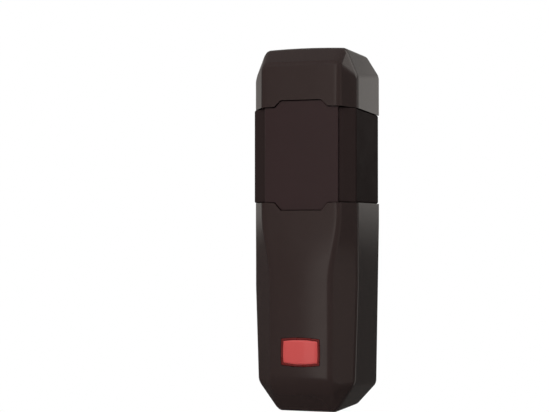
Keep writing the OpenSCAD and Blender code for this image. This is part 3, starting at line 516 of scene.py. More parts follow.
class Shape:
    """A mesh in millimetres, in the frame of the part, before it becomes a piece."""

    def __init__(self) -> None:
        """Starts with nothing in the mesh."""
        self.bm = bmesh.new()

    def sweep(self, rows: Sequence[Row], closed: bool = False) -> list[bmesh.types.BMVert]:
        """Draws the first row as edges and extrudes it through the others.

        Args:
            rows: Rows of as many points each.
            closed: Whether each row is a ring.

        Returns:
            The vertices of the last row.
        """
        line = [self.bm.verts.new(spot) for spot in rows[0]]
        pairs = [(i, (i + 1) % len(line)) for i in range(len(line) - (0 if closed else 1))]
        for a, b in pairs:
            self.bm.edges.new((line[a], line[b]))
        for row in rows[1:]:
            line = self.extend(line, pairs, row)
        return line

    def extend(
        self, line: Sequence[bmesh.types.BMVert], pairs: Sequence[tuple[int, int]], row: Row
    ) -> list[bmesh.types.BMVert]:
        """Extrudes a line of edges to a further row of points.

        Args:
            line: Vertices of the line.
            pairs: Which of them its edges join.
            row: Where the new vertices go.

        Returns:
            The new vertices, in the line's order.
        """
        edges = [self.bm.edges.get((line[a], line[b])) for a, b in pairs]
        made = bmesh.ops.extrude_edge_only(self.bm, edges=edges)["geom"]
        fresh = {g for g in made if isinstance(g, bmesh.types.BMVert)}
        after = [
            next(e.other_vert(v) for e in v.link_edges if e.other_vert(v) in fresh) for v in line
        ]
        for twin, spot in zip(after, row):
            twin.co = spot
        return after

    def fill(self, ring: Sequence[bmesh.types.BMVert]) -> None:
        """Closes a ring of vertices with one face."""
        bmesh.ops.contextual_create(
            self.bm, geom=[self.bm.edges.get((a, b)) for a, b in zip(ring, [*ring[1:], ring[0]])]
        )

    def prism(self, rows: Sequence[Row]) -> Shape:
        """Adds a body through rings of points and closes it at both ends.

        Args:
            rows: Rings of as many points each.

        Returns:
            The shape itself.
        """
        last = self.sweep(rows, closed=True)
        self.fill(last)
        self.bm.verts.ensure_lookup_table()
        self.fill(self.bm.verts[: len(rows[0])])
        return self

    def block(self, low: Sequence[float], high: Sequence[float]) -> Shape:
        """Adds a box between two corners."""
        a, b = Vector(low), Vector(high)
        box = Matrix.Translation((a + b) / 2) @ Matrix.Diagonal((*(b - a), 1.0))
        bmesh.ops.create_cube(self.bm, size=1.0, matrix=box)
        return self

    def bar(
        self, start: Sequence[float], end: Sequence[float], radius: float, sides: int = 32
    ) -> Shape:
        """Adds a round bar between two points.

        Args:
            start: Middle of its first end.
            end: Middle of its other end.
            radius: Its radius.
            sides: Number of flats round it.

        Returns:
            The shape itself.
        """
        a, b = Vector(start), Vector(end)
        turn = (b - a).to_track_quat("Z", "Y").to_matrix().to_4x4()
        bmesh.ops.create_cone(
            self.bm,
            cap_ends=True,
            segments=sides,
            radius1=radius,
            radius2=radius,
            depth=(b - a).length,
            matrix=Matrix.Translation((a + b) / 2) @ turn,
        )
        return self

    def merge(self, gap: float = 0.001) -> Shape:
        """Joins vertices that lie in one place and turns all faces outwards."""
        bmesh.ops.remove_doubles(self.bm, verts=self.bm.verts[:], dist=gap)
        bmesh.ops.recalc_face_normals(self.bm, faces=self.bm.faces[:])
        return self

    def thicken(self, wall: float) -> Shape:
        """Gives an open skin its wall, inwards, and marks outer, rim and inner faces."""
        self.merge()
        outer = set(self.bm.verts)
        bmesh.ops.solidify(self.bm, geom=self.bm.faces[:], thickness=wall)
        for face in self.bm.faces:
            inside = sum(vert not in outer for vert in face.verts)
            if inside == 0:
                kind = Skin.OUTER
            elif inside == len(face.verts):
                kind = Skin.INNER
            else:
                kind = Skin.RIM
            face.material_index = kind.value
        bmesh.ops.recalc_face_normals(self.bm, faces=self.bm.faces[:])
        return self

    def round(self, width: float, chosen: EdgeTest, segments: int) -> Shape:
        """Rounds the chosen edges.

        Args:
            width: Distance from the edge to where the rounding starts.
            chosen: Says whether an edge is rounded.
            segments: Number of strips in the rounding.

        Returns:
            The shape itself.
        """
        bmesh.ops.bevel(
            self.bm,
            geom=[edge for edge in self.bm.edges if chosen(edge)],
            offset=width,
            offset_type="OFFSET",
            segments=segments,
            profile=0.5,
            affect="EDGES",
            clamp_overlap=True,
            loop_slide=True,
            material=-1,
        )
        return self

    def paint(self, kind: Skin) -> Shape:
        """Marks every face as one kind of skin."""
        for face in self.bm.faces:
            face.material_index = kind.value
        return self

    def object(self, name: str) -> bpy.types.Object:
        """Turns the shape into a Blender object in metres and drops the bmesh."""
        bmesh.ops.scale(self.bm, vec=(MM, MM, MM), verts=self.bm.verts[:])
        mesh = bpy.data.meshes.new(name)
        self.bm.to_mesh(mesh)
        self.bm.free()
        return add_object(name, mesh)


def peg(
    spot: tuple[float, float], radius: float, start: float, end: float, sides: int = 32
) -> Shape:
    """Makes a round tool that lies along the depth.

    Args:
        spot: Where it lies, across and in height.
        radius: Its radius.
        start: Depth where it starts.
        end: Depth where it ends.
        sides: Number of flats round it.

    Returns:
        The tool, painted as the inside of a cover.
    """
    x, z = spot
    shape = Shape().bar(point(x, start, z), point(x, end, z), radius, sides)
    return shape.paint(Skin.INNER)


def work(piece: bpy.types.Object, tool: Shape, step: Step) -> None:
    """Cuts a tool shape out of a piece, or joins it to the piece.

    Args:
        piece: Object whose mesh changes.
        tool: Closed shape, used up by the step.
        step: Whether the tool is cut out or joined on.
    """
    helper = tool.merge().object("tool")
    modifier = piece.modifiers.new("step", "BOOLEAN")
    modifier.operation = step.value
    modifier.solver = "EXACT"
    modifier.object = helper
    bpy.context.view_layer.update()
    graph = bpy.context.evaluated_depsgraph_get()
    before = piece.data
    changed = bpy.data.meshes.new_from_object(piece.evaluated_get(graph))
    piece.modifiers.clear()
    piece.data = changed
    bpy.data.meshes.remove(before)
    bpy.data.objects.remove(helper)


def place(
    piece: bpy.types.Object,
    body: Body | None,
    finishes: Sequence[Finish],
    nodes: Iterable[str],
    crease: float = 34.0,
) -> bpy.types.Object:
    """Dresses a piece and hangs it on its body.

    Args:
        piece: Object at the origin with its place in its mesh.
        body: Body that it rides on, or None for a piece that hangs on no body.
        finishes: Finish of each material index.
        nodes: CAD nodes that it stands for.
        crease: Angle in degrees past which an edge stays sharp in the shading.

    Returns:
        The same object.
    """
    shape = bmesh.new()
    shape.from_mesh(piece.data)
    limit = math.radians(crease)
    for face in shape.faces:
        face.smooth = True
    for edge in shape.edges:
        edge.smooth = edge.is_manifold and edge.calc_face_angle(0.0) < limit
    shape.to_mesh(piece.data)
    shape.free()
    piece.data.materials.clear()
    for finish in finishes:
        piece.data.materials.append(finish.material())
    weighted = piece.modifiers.new("even_faces", "WEIGHTED_NORMAL")
    weighted.keep_sharp = True
    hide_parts(*nodes)
    if body is not None:
        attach(piece, body.value)
    LOG.info("%s: %d faces on %s", piece.name, len(piece.data.polygons), body)
    return piece


# ---------------------------------------------------------------- housing


def mirrored(rear: Vector, side: Vector, front: Row) -> Row:
    """Completes a row of a skin by its left side.

    Args:
        rear: Its right end at the wall.
        side: Its right corner between side and slanted face.
        front: Its points across the front.

    Returns:
        The whole row from left to right.
    """
    left = [Vector((-p.x, p.y, p.z)) for p in (rear, side)]
    return left + front + [side, rear]


def skin_through(rows: Sequence[Row], rear: Row) -> Shape:
    """Makes a cover's skin and closes its end by a face back to the wall.

    Args:
        rows: The skin's rows, from its open edge to its closed end.
        rear: Points at the wall behind the last row's front.

    Returns:
        The skin, open at the back and at its first row.
    """
    shape = Shape()
    front = shape.sweep(rows)[2:-2]
    shape.extend(front, [(i, i + 1) for i in range(len(front) - 1)], rear)
    return shape


@dataclass(frozen=True)
class Housing:
    """Outer form that the covers and the window share."""

    half_h: float = 65.0
    wall: float = 2.2
    back: float = 0.4
    side_half: float = 19.3
    side_depth: float = 28.5
    front_half: float = 14.3
    front_depth: float = 35.0
    edge: float = 1.2
    lip: float = 0.06
    lap: float = 3.5
    lap_wall: float = 1.2
    lap_gap: float = 0.1
    notch_root: float = 10.0
    notch_end: float = 7.5
    columns: tuple[float, ...] = (0.0, 2.5, 5.0, 7.5, 9.9, 12.1, 14.3)

    def across(self) -> list[float]:
        """Returns the front columns as shares of the half width, from left to right."""
        right = [x / self.front_half for x in self.columns]
        return [-u for u in reversed(right[1:])] + right

    def plan(self, inset: float, low: float, high: float, back: float) -> Shape:
        """Makes a prism with the housing's plan.

        Args:
            inset: How far its walls lie inside the outer faces.
            low: Height of its bottom.
            high: Height of its top.
            back: Depth from the wall where it starts.

        Returns:
            A closed shape.
        """
        run, rise = self.side_half - self.front_half, self.front_depth - self.side_depth
        length = math.hypot(run, rise)
        edge = (rise * self.side_half + run * self.side_depth) / length - inset
        side, front = self.side_half - inset, self.front_depth - inset
        side_y = (edge * length - rise * side) / run
        front_x = (edge * length - run * front) / rise
        half = [(side, back), (side, side_y), (front_x, front)]
        corners = half + [(-x, y) for x, y in reversed(half)]
        rows = [[point(x, y, z) for x, y in corners] for z in (low, high)]
        return Shape().prism(rows).merge().paint(Skin.INNER)

    def finish_shell(
        self, shape: Shape, soft: EdgeTest | None = None, soft_width: float = 0.0
    ) -> None:
        """Gives a skin its wall and rounds its outer edges, then those of its rim.

        Args:
            shape: The skin.
            soft: Says whether an edge gets the wide rounding.
            soft_width: Distance from such an edge to where its rounding starts.
        """

        def outer(edge: bmesh.types.BMEdge) -> bool:
            """Tells whether an edge lies between outer faces."""
            return sharper(FACE_ANGLE)(edge) and all(
                face.material_index == Skin.OUTER.value for face in edge.link_faces
            )

        def rim(edge: bmesh.types.BMEdge) -> bool:
            """Tells whether an edge lies between an outer face and the rim."""
            kinds = {face.material_index for face in edge.link_faces}
            return kinds == {Skin.OUTER.value, Skin.RIM.value} and sharper(RIM_ANGLE)(edge)

        shape.thicken(self.wall)
        if soft:
            shape.round(soft_width, soft, segments=7)
        shape.round(self.edge, outer, segments=4)
        shape.round(self.lip, rim, segments=2)


@dataclass
class UpperCap:
    """Upper cover with its sloped top, its notch and its two guide sockets."""

    house: Housing
    low: float = 43.5
    side_low: float = 42.93
    rear_low: float = 42.18
    notch: float = 2.4
    corner_z: float = 54.0
    rear_z: float = 56.6
    slope_z: float = 59.0
    slope_end_z: float = 58.1
    top_half: float = 14.95
    top_rear_half: float = 14.35
    top_depth: float = 28.86
    crown: float = 0.5
    slope_rate: float = 1.117
    socket_x: float = 9.0
    socket_z: float = 54.0
    socket_r: float = 2.75
    bore_r: float = 1.55
    socket_from: float = 13.2
    bore_end: float = 19.5
    socket_end: float = 33.2

    def skin(self) -> Shape:
        """Returns the outer skin, open at the back and below."""
        h = self.house
        xs = [u * h.front_half for u in h.across()]
        notch = [(h.notch_end, self.notch), (h.notch_root, 0.0)]
        top_z = h.half_h - self.crown

        def crowned(x: float) -> float:
            """Returns the height of the top's front edge at a place across."""
            return top_z + self.crown * (1 - (x / self.top_half) ** 2)

        ratio = self.top_half / h.front_half
        crest = [(x * ratio, crowned(x * ratio)) for x in xs]
        top = [point(x, self.top_depth - (z - top_z) * self.slope_rate, z) for x, z in crest]
        lower = [point(x, h.front_depth, self.low + between(notch, abs(x))) for x in xs]
        slope = [point(x, h.front_depth, self.slope_z) for x in xs]
        for end in (slope[0], slope[-1]):
            end.z = self.slope_end_z
        rows = [
            mirrored(
                point(h.side_half, h.back, self.rear_low),
                point(h.side_half, h.side_depth, self.side_low),
                lower,
            ),
            mirrored(
                point(h.side_half, h.back, self.rear_z),
                point(h.side_half, h.side_depth, self.corner_z),
                slope,
            ),
            mirrored(point(self.top_rear_half, h.back, top_z), top[-1].copy(), top),
        ]
        rear = [
            point(x * self.top_rear_half / h.front_half, h.back, crowned(x * ratio)) for x in xs
        ]
        return skin_through(rows, rear)

    def build(self) -> None:
        """Makes the cap and hangs it on the front cover."""
        h = self.house
        shape = self.skin()
        h.finish_shell(shape)
        cap = shape.object("upper_cap_shell")
        for side in (-1, 1):
            spot = (side * self.socket_x, self.socket_z)
            work(cap, peg(spot, self.socket_r, self.socket_from, self.socket_end), Step.JOIN)
            work(cap, peg(spot, self.bore_r, self.socket_from - OVER, self.bore_end), Step.CUT)
        rebate = h.plan(h.lap_wall, self.rear_low - OVER, self.low + h.lap + h.lap_gap, -OVER)
        work(cap, rebate, Step.CUT)
        place(cap, Body.COVER, [COVER, COVER, COVER_INSIDE], ["upper_cap"])


@dataclass
class LowerCover:
    """Lower cover: the front narrows in a waist and the bottom slopes back."""

    house: Housing
    high: float = 9.5
    notch: float = 2.8
    waist_top: float = 6.0
    waist_end: float = -19.0
    straight_end: float = -20.0
    rear_straight_end: float = 3.0
    narrow_half: float = 11.1
    foot_half: float = 18.2
    rear_foot_z: float = -56.7
    side_foot_z: float = -54.4
    front_foot_z: float = -55.3
    bottom_half: float = 10.55
    bottom_front_half: float = 10.85
    bottom_depth: float = 27.3
    crown: float = 0.5
    foot_round: float = 4.5
    waist_rows: int = 16
    foot_rows: int = 5
    badge_z: float = -43.6
    well_r: float = 3.1
    well_sides: int = 48
    tube_r: float = 4.3
    tube_from: float = 16.0
    tube_inset: float = 1.4
    seat: float = 18.0
    shank_r: float = 1.55
    ring_r: float = 2.5

    def waist(self, z: float) -> float:
        """Returns how far the waist has set in at a height, from 0 to 1."""
        return smooth((self.waist_top - z) / (self.waist_top - self.waist_end))

    def row(self, rear_z: float, side_z: float, front_z: Callable[[float], float], z: float) -> Row:
        """Makes one row of the skin.

        Args:
            rear_z: Height at the rear edges.
            side_z: Height at the corners between sides and slanted faces.
            front_z: Height at each place across the front.
            z: Height that the front's width and crown are read at.

        Returns:
            Its points from the left rear edge to the right one.
        """
        h = self.house
        taper = [(self.rear_foot_z, self.foot_half), (self.rear_straight_end, h.side_half)]
        lean = [(self.side_foot_z, self.foot_half), (self.straight_end, h.side_half)]
        share = self.waist(z)
        half = h.front_half + (self.narrow_half - h.front_half) * share
        rise = self.crown * share
        front = [
            point(u * half, h.front_depth + rise * (1 - u * u), front_z(u * h.front_half))
            for u in h.across()
        ]
        side = point(between(lean, side_z), h.side_depth, side_z)
        rear = point(between(taper, rear_z), h.back, rear_z)
        return mirrored(rear, side, front)

    def skin(self) -> Shape:
        """Returns the outer skin, open at the back and above."""
        h = self.house
        notch = [(h.notch_end, -self.notch), (h.notch_root, 0.0)]
        high = self.high
        rows = [self.row(high, high, lambda x: high + between(notch, abs(x)), high)]
        span = self.waist_top - self.waist_end
        for i in range(self.waist_rows + 1):
            z = self.waist_top - span * i / self.waist_rows
            rows.append(self.row(z, z, lambda x, z=z: z, z))
        for i in range(self.foot_rows + 1):
            share = i / self.foot_rows
            rear_z, side_z, front_z = (
                self.straight_end + (end - self.straight_end) * share
                for end in (self.rear_foot_z, self.side_foot_z, self.front_foot_z)
            )
            rows.append(self.row(rear_z, side_z, lambda x, z=front_z: z, front_z))
        bottom, rear = (
            [point(u * half, depth, -h.half_h) for u in h.across()]
            for half, depth in (
                (self.bottom_front_half, self.bottom_depth), (self.bottom_half, h.back)
            )
        )
        rows.append(mirrored(rear[-1].copy(), bottom[-1].copy(), bottom))
        return skin_through(rows, rear)

    def build(self, badge: Badge) -> None:
        """Makes the cover, its screw well and the badge's pocket.

        Args:
            badge: Badge that the pocket takes.
        """
        h = self.house

        def foot(edge: bmesh.types.BMEdge) -> bool:
            """Tells whether an edge is the front's lower one."""
            return all(
                abs(vert.co.z - self.front_foot_z) < NEAR and vert.co.y < NEAR - h.front_depth
                for vert in edge.verts
            )

        shape = self.skin()
        h.finish_shell(shape, foot, self.foot_round)
        cover = shape.object("lower_cover_shell")
        for radius, start, end, step in (
            (self.tube_r, self.tube_from, h.front_depth - self.tube_inset, Step.JOIN),
            (self.well_r, self.seat, h.front_depth + OVER, Step.CUT),
            (self.shank_r, self.tube_from - OVER, self.seat + OVER, Step.CUT),
            (self.ring_r, self.seat - OVER, self.seat + OVER, Step.CUT),
        ):
            work(cover, peg((0.0, self.badge_z), radius, start, end, self.well_sides), step)
        rebate = h.plan(h.lap_wall, self.high - h.lap - h.lap_gap, self.high + OVER, -OVER)
        for tool in (badge.pocket(), *badge.leg_slots(), rebate):
            work(cover, tool, Step.CUT)
        place(cover, Body.COVER, [COVER, COVER, COVER_INSIDE], ["lower_cover"])


@dataclass
class OpticWindow:
    """Smoked window between the covers and the filter panel on its front."""

    house: Housing
    low: float = 9.55
    high: float = 43.45
    side_high: float = 42.85
    rear_high: float = 42.1
    side_half: float = 19.1
    side_depth: float = 30.0
    front_half: float = 14.0
    front_depth: float = 33.3
    wall: float = 2.2
    edge: float = 0.6
    liner_wall: float = 1.15
    liner_side: float = 2.2
    liner_front: float = 0.1
    play: float = 0.05
    panel_half: float = 13.65
    panel_t: float = 1.0
    panel_edge: float = 0.3
    tongue_root: float = 9.9
    tongue_end: float = 7.45
    tongue_up: float = 2.35
    tongue_down: float = 2.75

    def band(
        self, half: float, depth: float, low: float, high: Sequence[float], wall: float
    ) -> Shape:
        """Makes one open band of the window.

        Args:
            half: Half its width over the sides.
            depth: Depth where its sides end.
            low: Height of its lower edge.
            high: Heights of its upper edge at the front, where the sides start and at the back.
            wall: Thickness of its wall.

        Returns:
            The band with its wall.
        """
        shrink = self.side_half - half
        front = self.front_depth - (self.liner_front if shrink else 0)
        right = [(self.front_half - shrink / 2, front), (half, depth), (half, self.house.back)]
        plan = [(-x, y) for x, y in reversed(right)] + right
        edges = ([low] * len(plan), [*reversed(high), *high])
        shape = Shape()
        shape.sweep([[point(x, y, z) for (x, y), z in zip(plan, edge)] for edge in edges])
        return shape.thicken(wall)

    def build(self) -> None:
        """Makes the window and its filter panel."""
        h = self.house
        top = (self.high, self.side_high, self.rear_high)
        shape = self.band(self.side_half, self.side_depth, self.low, top, self.wall)
        shape.round(self.edge, sharper(FACE_ANGLE), segments=3)
        window = shape.object("optic_window_shell")
        inset = h.lap_wall + self.play
        reach = h.lap + self.play
        liner = self.band(
            h.side_half - inset,
            self.side_depth - self.liner_side,
            self.low - reach,
            [self.high + reach] * len(top),
            self.liner_wall,
        )
        work(window, liner.paint(Skin.INNER), Step.JOIN)
        place(window, Body.COVER, [WINDOW, WINDOW, WINDOW], ["optic_window"])
        self.panel()

    def panel(self) -> None:
        """Makes the filter panel with its upper and lower tongue."""
        half = [
            (self.tongue_end, self.low - self.tongue_down),
            (self.tongue_root, self.low),
            (self.panel_half, self.low),
            (self.panel_half, self.high),
            (self.tongue_root, self.high),
            (self.tongue_end, self.high + self.tongue_up),
        ]
        outline = half + [(-x, z) for x, z in reversed(half)]
        back, front = self.front_depth, self.front_depth + self.panel_t
        rows = [[point(x, y, z) for x, z in outline] for y in (back, front)]
        shape = Shape().prism(rows).merge()
        shape.round(self.panel_edge, on_front(front), segments=3)
        place(shape.object("filter_panel_plate"), Body.COVER, [FILTER], ["filter_panel"])


@dataclass
class Badge:
    """Bulged badge: a dark frame with snap legs and a domed red face."""

    z: float = -43.6
    middle: float = -43.25
    half_w: float = 7.2
    half_h: float = 5.1
    bulge: float = 0.5
    side_bulge: float = 0.17
    rim: float = 0.75
    back: float = 33.9
    front: float = 35.5
    sunk: float = 0.9
    proud: float = 0.49
    edge: float = 0.22
    roll: float = 0.22
    roll_power: int = 24
    leg_x: float = 5.2
    leg_half: float = 0.6
    leg_w: float = 1.5
    leg_l: float = 2.6
    leg_root: float = 0.2
    slot_play: float = 0.5
    steps: int = 14
    gap: float = 0.1
    play: float = 0.05

    def outline(self, inset: float, depth: float) -> Row:
        """Makes one outline of the badge.

        Args:
            inset: How far it lies inside the frame's outer edge.
            depth: Depth from the wall.

        Returns:
            Its points in order.
        """
        w, h = self.half_w - inset, self.half_h - inset
        shares = [2 * i / self.steps - 1 for i in range(self.steps)]
        top = [(u * (w - self.side_bulge), h - self.bulge * u * u) for u in shares]
        right = [(w - self.side_bulge * u * u, -u * (h - self.bulge)) for u in shares]
        half = top + right
        return [point(x, depth, self.middle + y) for x, y in half + [(-x, -y) for x, y in half]]

    def pocket(self) -> Shape:
        """Returns the tool that cuts the badge's seat into the cover."""
        depths = (self.back, self.front + 2 * OVER)
        return Shape().prism([self.outline(-self.gap, y) for y in depths]).paint(Skin.INNER)

    def leg_slots(self) -> list[Shape]:
        """Returns the tools that cut the slots for the snap legs."""
        reach, w = self.leg_half + self.gap, self.leg_w + self.gap
        start, end = self.back + self.slot_play, self.back - self.leg_l - self.slot_play
        return [
            Shape()
            .block(point(x - reach, start, self.z - w), point(x + reach, end, self.z + w))
            .paint(Skin.INNER)
            for x in (-self.leg_x, self.leg_x)
        ]

    def build(self) -> None:
        """Makes the frame and the face."""
        rows = [
            self.outline(0, self.back),
            self.outline(0, self.front),
            self.outline(self.rim, self.front),
            self.outline(self.rim, self.front - self.sunk),
        ]
        shape = Shape().prism(rows).merge()
        shape.round(self.edge, on_front(self.front), segments=3)
        for x in (-self.leg_x, self.leg_x):
            shape.block(
                point(x - self.leg_half, self.back + self.leg_root, self.z - self.leg_w),
                point(x + self.leg_half, self.back - self.leg_l, self.z + self.leg_w),
            )
        place(shape.object("badge_frame_ring"), Body.BADGE, [BADGE_RIM], ["badge_frame"])
        self.face()

    def face(self) -> None:
        """Makes the domed face."""
        w = self.half_w - self.rim - self.play
        h = self.half_h - self.rim - self.play
        reach = self.front + self.proud
        shape = Shape()
        bmesh.ops.create_grid(shape.bm, x_segments=28, y_segments=24, size=1.0)
        for vert in shape.bm.verts:
            u, v = vert.co.x, vert.co.y
            x = u * (w - self.side_bulge * v * v)
            z = v * (h - self.bulge * u * u)
            fall = self.proud * (x * x + z * z) / (self.half_w**2)
            roll = self.roll * max(abs(u), abs(v)) ** self.roll_power
            vert.co = Vector((x, fall + roll - reach, self.middle + z))
        rim = [edge for edge in shape.bm.edges if edge.is_boundary]
        made = bmesh.ops.extrude_edge_only(shape.bm, edges=rim)["geom"]
        for vert in made:
            if isinstance(vert, bmesh.types.BMVert):
                vert.co.y = -self.front + self.sunk
        bmesh.ops.holes_fill(shape.bm, edges=[e for e in shape.bm.edges if e.is_boundary])
        shape.merge()
        place(shape.object("badge_face_dome"), Body.BADGE, [BADGE_FACE], ["badge_face"])


# ---------------------------------------------------------------- inside


@dataclass(frozen=True)
class Inner:
    """A CAD node inside the housing whose shape is kept, with its edges broken."""

    node: str
    body: Body | None
    finish: Finish
    edge: float = 0.2

    def build(self) -> bpy.types.Object:
        """Makes the piece from a merged copy of the node.

        Returns:
            The piece.
        """
        shape = Shape()
        shape.bm.from_mesh(bpy.data.objects[self.node].data)
        bmesh.ops.scale(shape.bm, vec=(1 / MM,) * 3, verts=shape.bm.verts[:])
        bmesh.ops.remove_doubles(shape.bm, verts=shape.bm.verts[:], dist=0.002)
        bmesh.ops.dissolve_limit(
            shape.bm,
            angle_limit=math.radians(0.6),
            verts=shape.bm.verts[:],
            edges=shape.bm.edges[:],
        )
        shape.paint(Skin.OUTER)
        if self.edge:
            shape.round(self.edge, sharper(CAD_ANGLE), segments=2)
        return place(shape.object(f"{self.node}_piece"), self.body, [self.finish], [self.node])


INNER: tuple[Inner, ...] = (
    Inner("rear_base", Body.ROOT, BASE, 0.3),
    Inner("base_seal", Body.ROOT, RUBBER, 0.2),
    Inner("cable_grommet", Body.ROOT, RUBBER, 0.25),
    Inner("main_board", Body.ROOT, BOARD, 0.1),
    Inner("terminal_block", Body.ROOT, TERMINAL, 0.25),
    Inner("relay", Body.ROOT, RELAY, 0.35),
    Inner("filter_capacitor", Body.ROOT, SLEEVE, 0.35),
    Inner("varistor", Body.ROOT, DIPPED, 0.9),
    Inner("head_bracket", Body.ROOT, BRACKET, 0.3),
    Inner("lead_connector", Body.ROOT, PLUG, 0.15),
    Inner("swivel_yoke", Body.HEAD, BRACKET, 0.25),
    Inner("lens_barrel", Body.BARREL, BARREL, 0.25),
    Inner("lens_ring", Body.BARREL, BARREL, 0.2),
    Inner("jumper_link", Body.JUMPER, JUMPER, 0.25),
    Inner("cover_screw", Body.COVER_SCREW, ZINC, 0.15),
)

KEPT: dict[str, Finish] = {
    "board_screws": ZINC,
    "bracket_screws": ZINC,
    "pan_pin": ZINC,
    "tilt_pins": ZINC,
    "pivot_clip": ZINC,
    "terminal_clamps": NICKEL,
    "controller_chip": CHIP,
    "bridge_rectifier": CHIP,
    "photodiode": CHIP,
    "smd_parts": CERAMIC,
    "status_led": LED,
    "jumper_header": HEADER,
    "board_leads": LEAD,
    "pan_washer": WASHER,
    "focus_lens": LENS,
    "sensor_board": BOARD,
    "screw_seal": RUBBER,
    **{f"terminal_screw_{i}": ZINC for i in range(1, 6)},
}


@dataclass
class Insides:
    """Everything under the front cover."""

    nodes: dict[str, bpy.types.Object]

    def build(self) -> None:
        """Dresses the nodes that stay and makes the pieces that replace the others."""
        for inner in INNER:
            inner.build()
        for name, finish in KEPT.items():
            node = self.nodes[name]
            node.data.materials.clear()
            node.data.materials.append(finish.material())
            LOG.info("%s keeps its CAD shape", name)
        self.leads()

    def leads(self) -> None:
        """Makes the head's leads from a copy of their node and bakes their place into the mesh."""
        piece = Inner("head_leads", None, LEAD, 0.0).build()
        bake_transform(piece)


# ---------------------------------------------------------------- studio


@dataclass(frozen=True)
class Reflector:
    """An evenly lit board between two corners that only the part's gloss shows."""

    name: str
    low: tuple[float, float, float]
    high: tuple[float, float, float]
    strength: float


REFLECTORS: tuple[Reflector, ...] = (
    Reflector("edge_strip", (330, 314, -420), (540, 316, -10), 0.9),
    Reflector("front_board", (-270, -1100, -500), (-70, -1098, 500), 0.8),
    Reflector("left_board", (-760, 314, 54), (-380, 316, 150), 0.58),
    Reflector("corner_board", (230, 314, 210), (1300, 316, 760), 1.15),
    Reflector("right_board", (800, -720, -500), (802, -280, 500), 0.27),
)


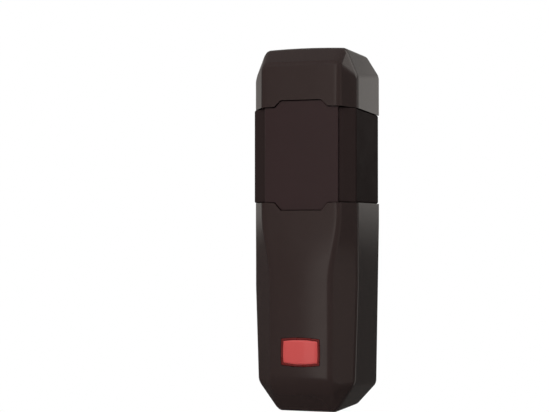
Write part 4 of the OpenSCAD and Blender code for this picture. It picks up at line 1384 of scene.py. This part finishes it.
@dataclass
class Studio:
    """Camera, lamps, floor and the white surroundings of a catalogue picture."""

    azimuth: float = 18.97
    elevation: float = -0.91
    spot: tuple[float, float, float] = (171.26, -561.44, -0.49)
    lens: float = 102.8
    sensor: float = 36.0
    floor_z: float = -300.0
    floor_r: float = 1100.0
    room: float = 0.2
    room_low: float = 0.05
    card_y: float = 320.0
    card_lean: float = 0.05
    # Heights in metres between which the card's light changes, and its two levels there.
    card_rise: tuple[float, float, float, float] = (-0.02, 0.03, 0.065, 0.55)
    card_fall: tuple[float, float, float, float] = (0.11, 0.16, 1.0, 0.5)

    def build(self) -> None:
        """Sets up the camera, the world, the lamps and the stage."""
        self.camera()
        self.world()
        self.floor()
        self.card()
        for board in REFLECTORS:
            self.shine(self.glow(board.name), board.strength)
            self.stand(board.name, board.low, board.high)
        self.lamp("key", spot=(-120, -1340, 900), size=(1500, 1100), power=28.0)
        bpy.context.scene.view_settings.view_transform = "Standard"

    def camera(self) -> None:
        """Places the camera where the photograph was taken from."""
        data = bpy.data.cameras.new("camera")
        data.lens, data.sensor_width, data.sensor_fit = self.lens, self.sensor, "HORIZONTAL"
        data.clip_start, data.clip_end = 0.01, 50.0
        made = add_object("camera", data)
        a, e = math.radians(self.azimuth), math.radians(self.elevation)
        back = Vector((math.sin(a) * math.cos(e), -math.cos(a) * math.cos(e), math.sin(e)))
        self.aim(made, self.spot, -back)
        bpy.context.scene.camera = made

    def aim(self, made: bpy.types.Object, spot: Sequence[float], way: Vector) -> None:
        """Puts the camera or a lamp in its place and points it.

        Args:
            made: The camera or lamp.
            spot: Its place in millimetres.
            way: Direction that it looks or shines in.
        """
        made.location = Vector(spot) * MM
        made.rotation_mode = "QUATERNION"
        made.rotation_quaternion = way.to_track_quat("-Z", "Y")

    def world(self) -> None:
        """Shows white to the camera and through clear pieces, and lights as a dim room."""
        world = bpy.data.worlds.new("surroundings")
        tree = cleared(world)
        path = add(tree, "LightPath")
        seen = add(tree, "Math", {
            0: path.outputs["Is Camera Ray"], 1: path.outputs["Is Transmission Ray"],
        }, operation="MAXIMUM")
        white = add(tree, "Background", {"Color": to_linear("#ffffff"), "Strength": 1.0})
        way = add(tree, "TexCoord").outputs["Generated"]
        height = add(tree, "SeparateXYZ", {0: way}).outputs["Z"]
        level = add(tree, "MapRange", {
            "Value": height,
            "From Min": -0.6,
            "From Max": 0.6,
            "To Min": self.room_low,
            "To Max": self.room,
        }).outputs["Result"]
        dim = add(tree, "Background", {"Color": to_linear("#ffffff"), "Strength": level})
        mixed = add(tree, "MixShader", {0: seen.outputs[0], 1: dim.outputs[0], 2: white.outputs[0]})
        add(tree, "OutputWorld", {"Surface": mixed.outputs[0]})
        bpy.context.scene.world = world

    def floor(self) -> None:
        """Lays a pale floor that fades into the white towards its edge."""
        material = bpy.data.materials.new("painted_floor")
        tree = cleared(material)
        spot = add(tree, "TexCoord").outputs["Object"]
        centred = add(tree, "Mapping", {
            "Vector": spot,
            "Location": (0.0, 0.0, -self.floor_z / self.floor_r),
            "Scale": (1 / (self.floor_r * MM),) * 3,
        }).outputs["Vector"]
        fade = add(tree, "TexGradient", {"Vector": centred}, gradient_type="SPHERICAL")
        share = add(tree, "MapRange", {
            "Value": fade.outputs["Fac"],
            "From Min": 0.1,
            "From Max": 0.7,
            "To Min": 1.0,
            "To Max": 0.25,
        })
        path = add(tree, "LightPath")
        glow = add(tree, "Math", {
            0: share.outputs["Result"], 1: path.outputs["Is Camera Ray"],
        }, operation="MULTIPLY")
        paint = add(tree, "BsdfDiffuse", {"Color": to_linear("#e9e9e9")})
        light = add(tree, "Emission", {"Strength": glow.outputs[0]})
        both = add(tree, "AddShader", {0: paint.outputs[0], 1: light.outputs[0]})
        add(tree, "OutputMaterial", {"Surface": both.outputs[0]})
        shape = Shape()
        bmesh.ops.create_circle(
            shape.bm,
            cap_ends=True,
            segments=64,
            radius=self.floor_r,
            matrix=Matrix.Translation((0, 0, self.floor_z)),
        )
        made = shape.object("floor")
        made.data.materials.append(material)
        made.visible_glossy = False

    def card(self) -> None:
        """Stands a warm white card behind the part, dark below, that only its gloss shows."""
        tree = self.glow("reflector_card")
        spot = add(tree, "TexCoord").outputs["Object"]
        height = add(
            tree, "VectorMath", {0: spot, 1: (-self.card_lean, 0.0, 1.0)}, operation="DOT_PRODUCT"
        ).outputs["Value"]
        rise, fall = (
            add(tree, "MapRange", {
                "Value": height, "From Min": low, "From Max": high, "To Min": a, "To Max": b,
            }).outputs["Result"]
            for low, high, a, b in (self.card_rise, self.card_fall)
        )
        share = add(tree, "Math", {0: rise, 1: fall}, operation="MULTIPLY")
        self.shine(tree, share.outputs[0])
        self.stand("reflector_card", (-1500, self.card_y, -500), (900, self.card_y + 2, 1100))

    def glow(self, name: str) -> bpy.types.NodeTree:
        """Returns the empty node tree of a new material."""
        return cleared(bpy.data.materials.new(name))

    def shine(self, tree: bpy.types.NodeTree, strength: bpy.types.NodeSocket | float) -> None:
        """Ends a material's nodes in warm white light of a strength."""
        light = add(tree, "Emission", {"Color": to_linear("#fffaf4"), "Strength": strength})
        add(tree, "OutputMaterial", {"Surface": light.outputs[0]})

    def stand(self, name: str, low: Sequence[float], high: Sequence[float]) -> None:
        """Stands a board of the named material out of the camera's sight."""
        made = Shape().block(low, high).object(name)
        made.data.materials.append(bpy.data.materials[name])
        made.visible_camera = False
        made.visible_diffuse = False
        made.visible_shadow = False
        made.visible_transmission = False

    def lamp(
        self, name: str, spot: tuple[float, float, float], size: tuple[float, float], power: float
    ) -> None:
        """Hangs a soft box that points at the part.

        Args:
            name: Name of the lamp.
            spot: Place of its middle in millimetres.
            size: Its width and height in millimetres.
            power: Its power in watts.
        """
        data = bpy.data.lights.new(name, "AREA")
        data.shape = "RECTANGLE"
        data.size, data.size_y = size[0] * MM, size[1] * MM
        data.energy = power
        made = add_object(name, data)
        self.aim(made, spot, -Vector(spot) * MM)
        made.visible_camera = False
        made.visible_glossy = False


def main() -> None:
    """Builds the scene."""
    logging.basicConfig(level=logging.INFO, format="%(name)s: %(message)s")
    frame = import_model()
    Studio().build()
    house = Housing()
    badge = Badge()
    UpperCap(house).build()
    LowerCover(house).build(badge)
    OpticWindow(house).build()
    badge.build()
    Insides(frame["nodes"]).build()


if __name__ == "__main__":
    main()
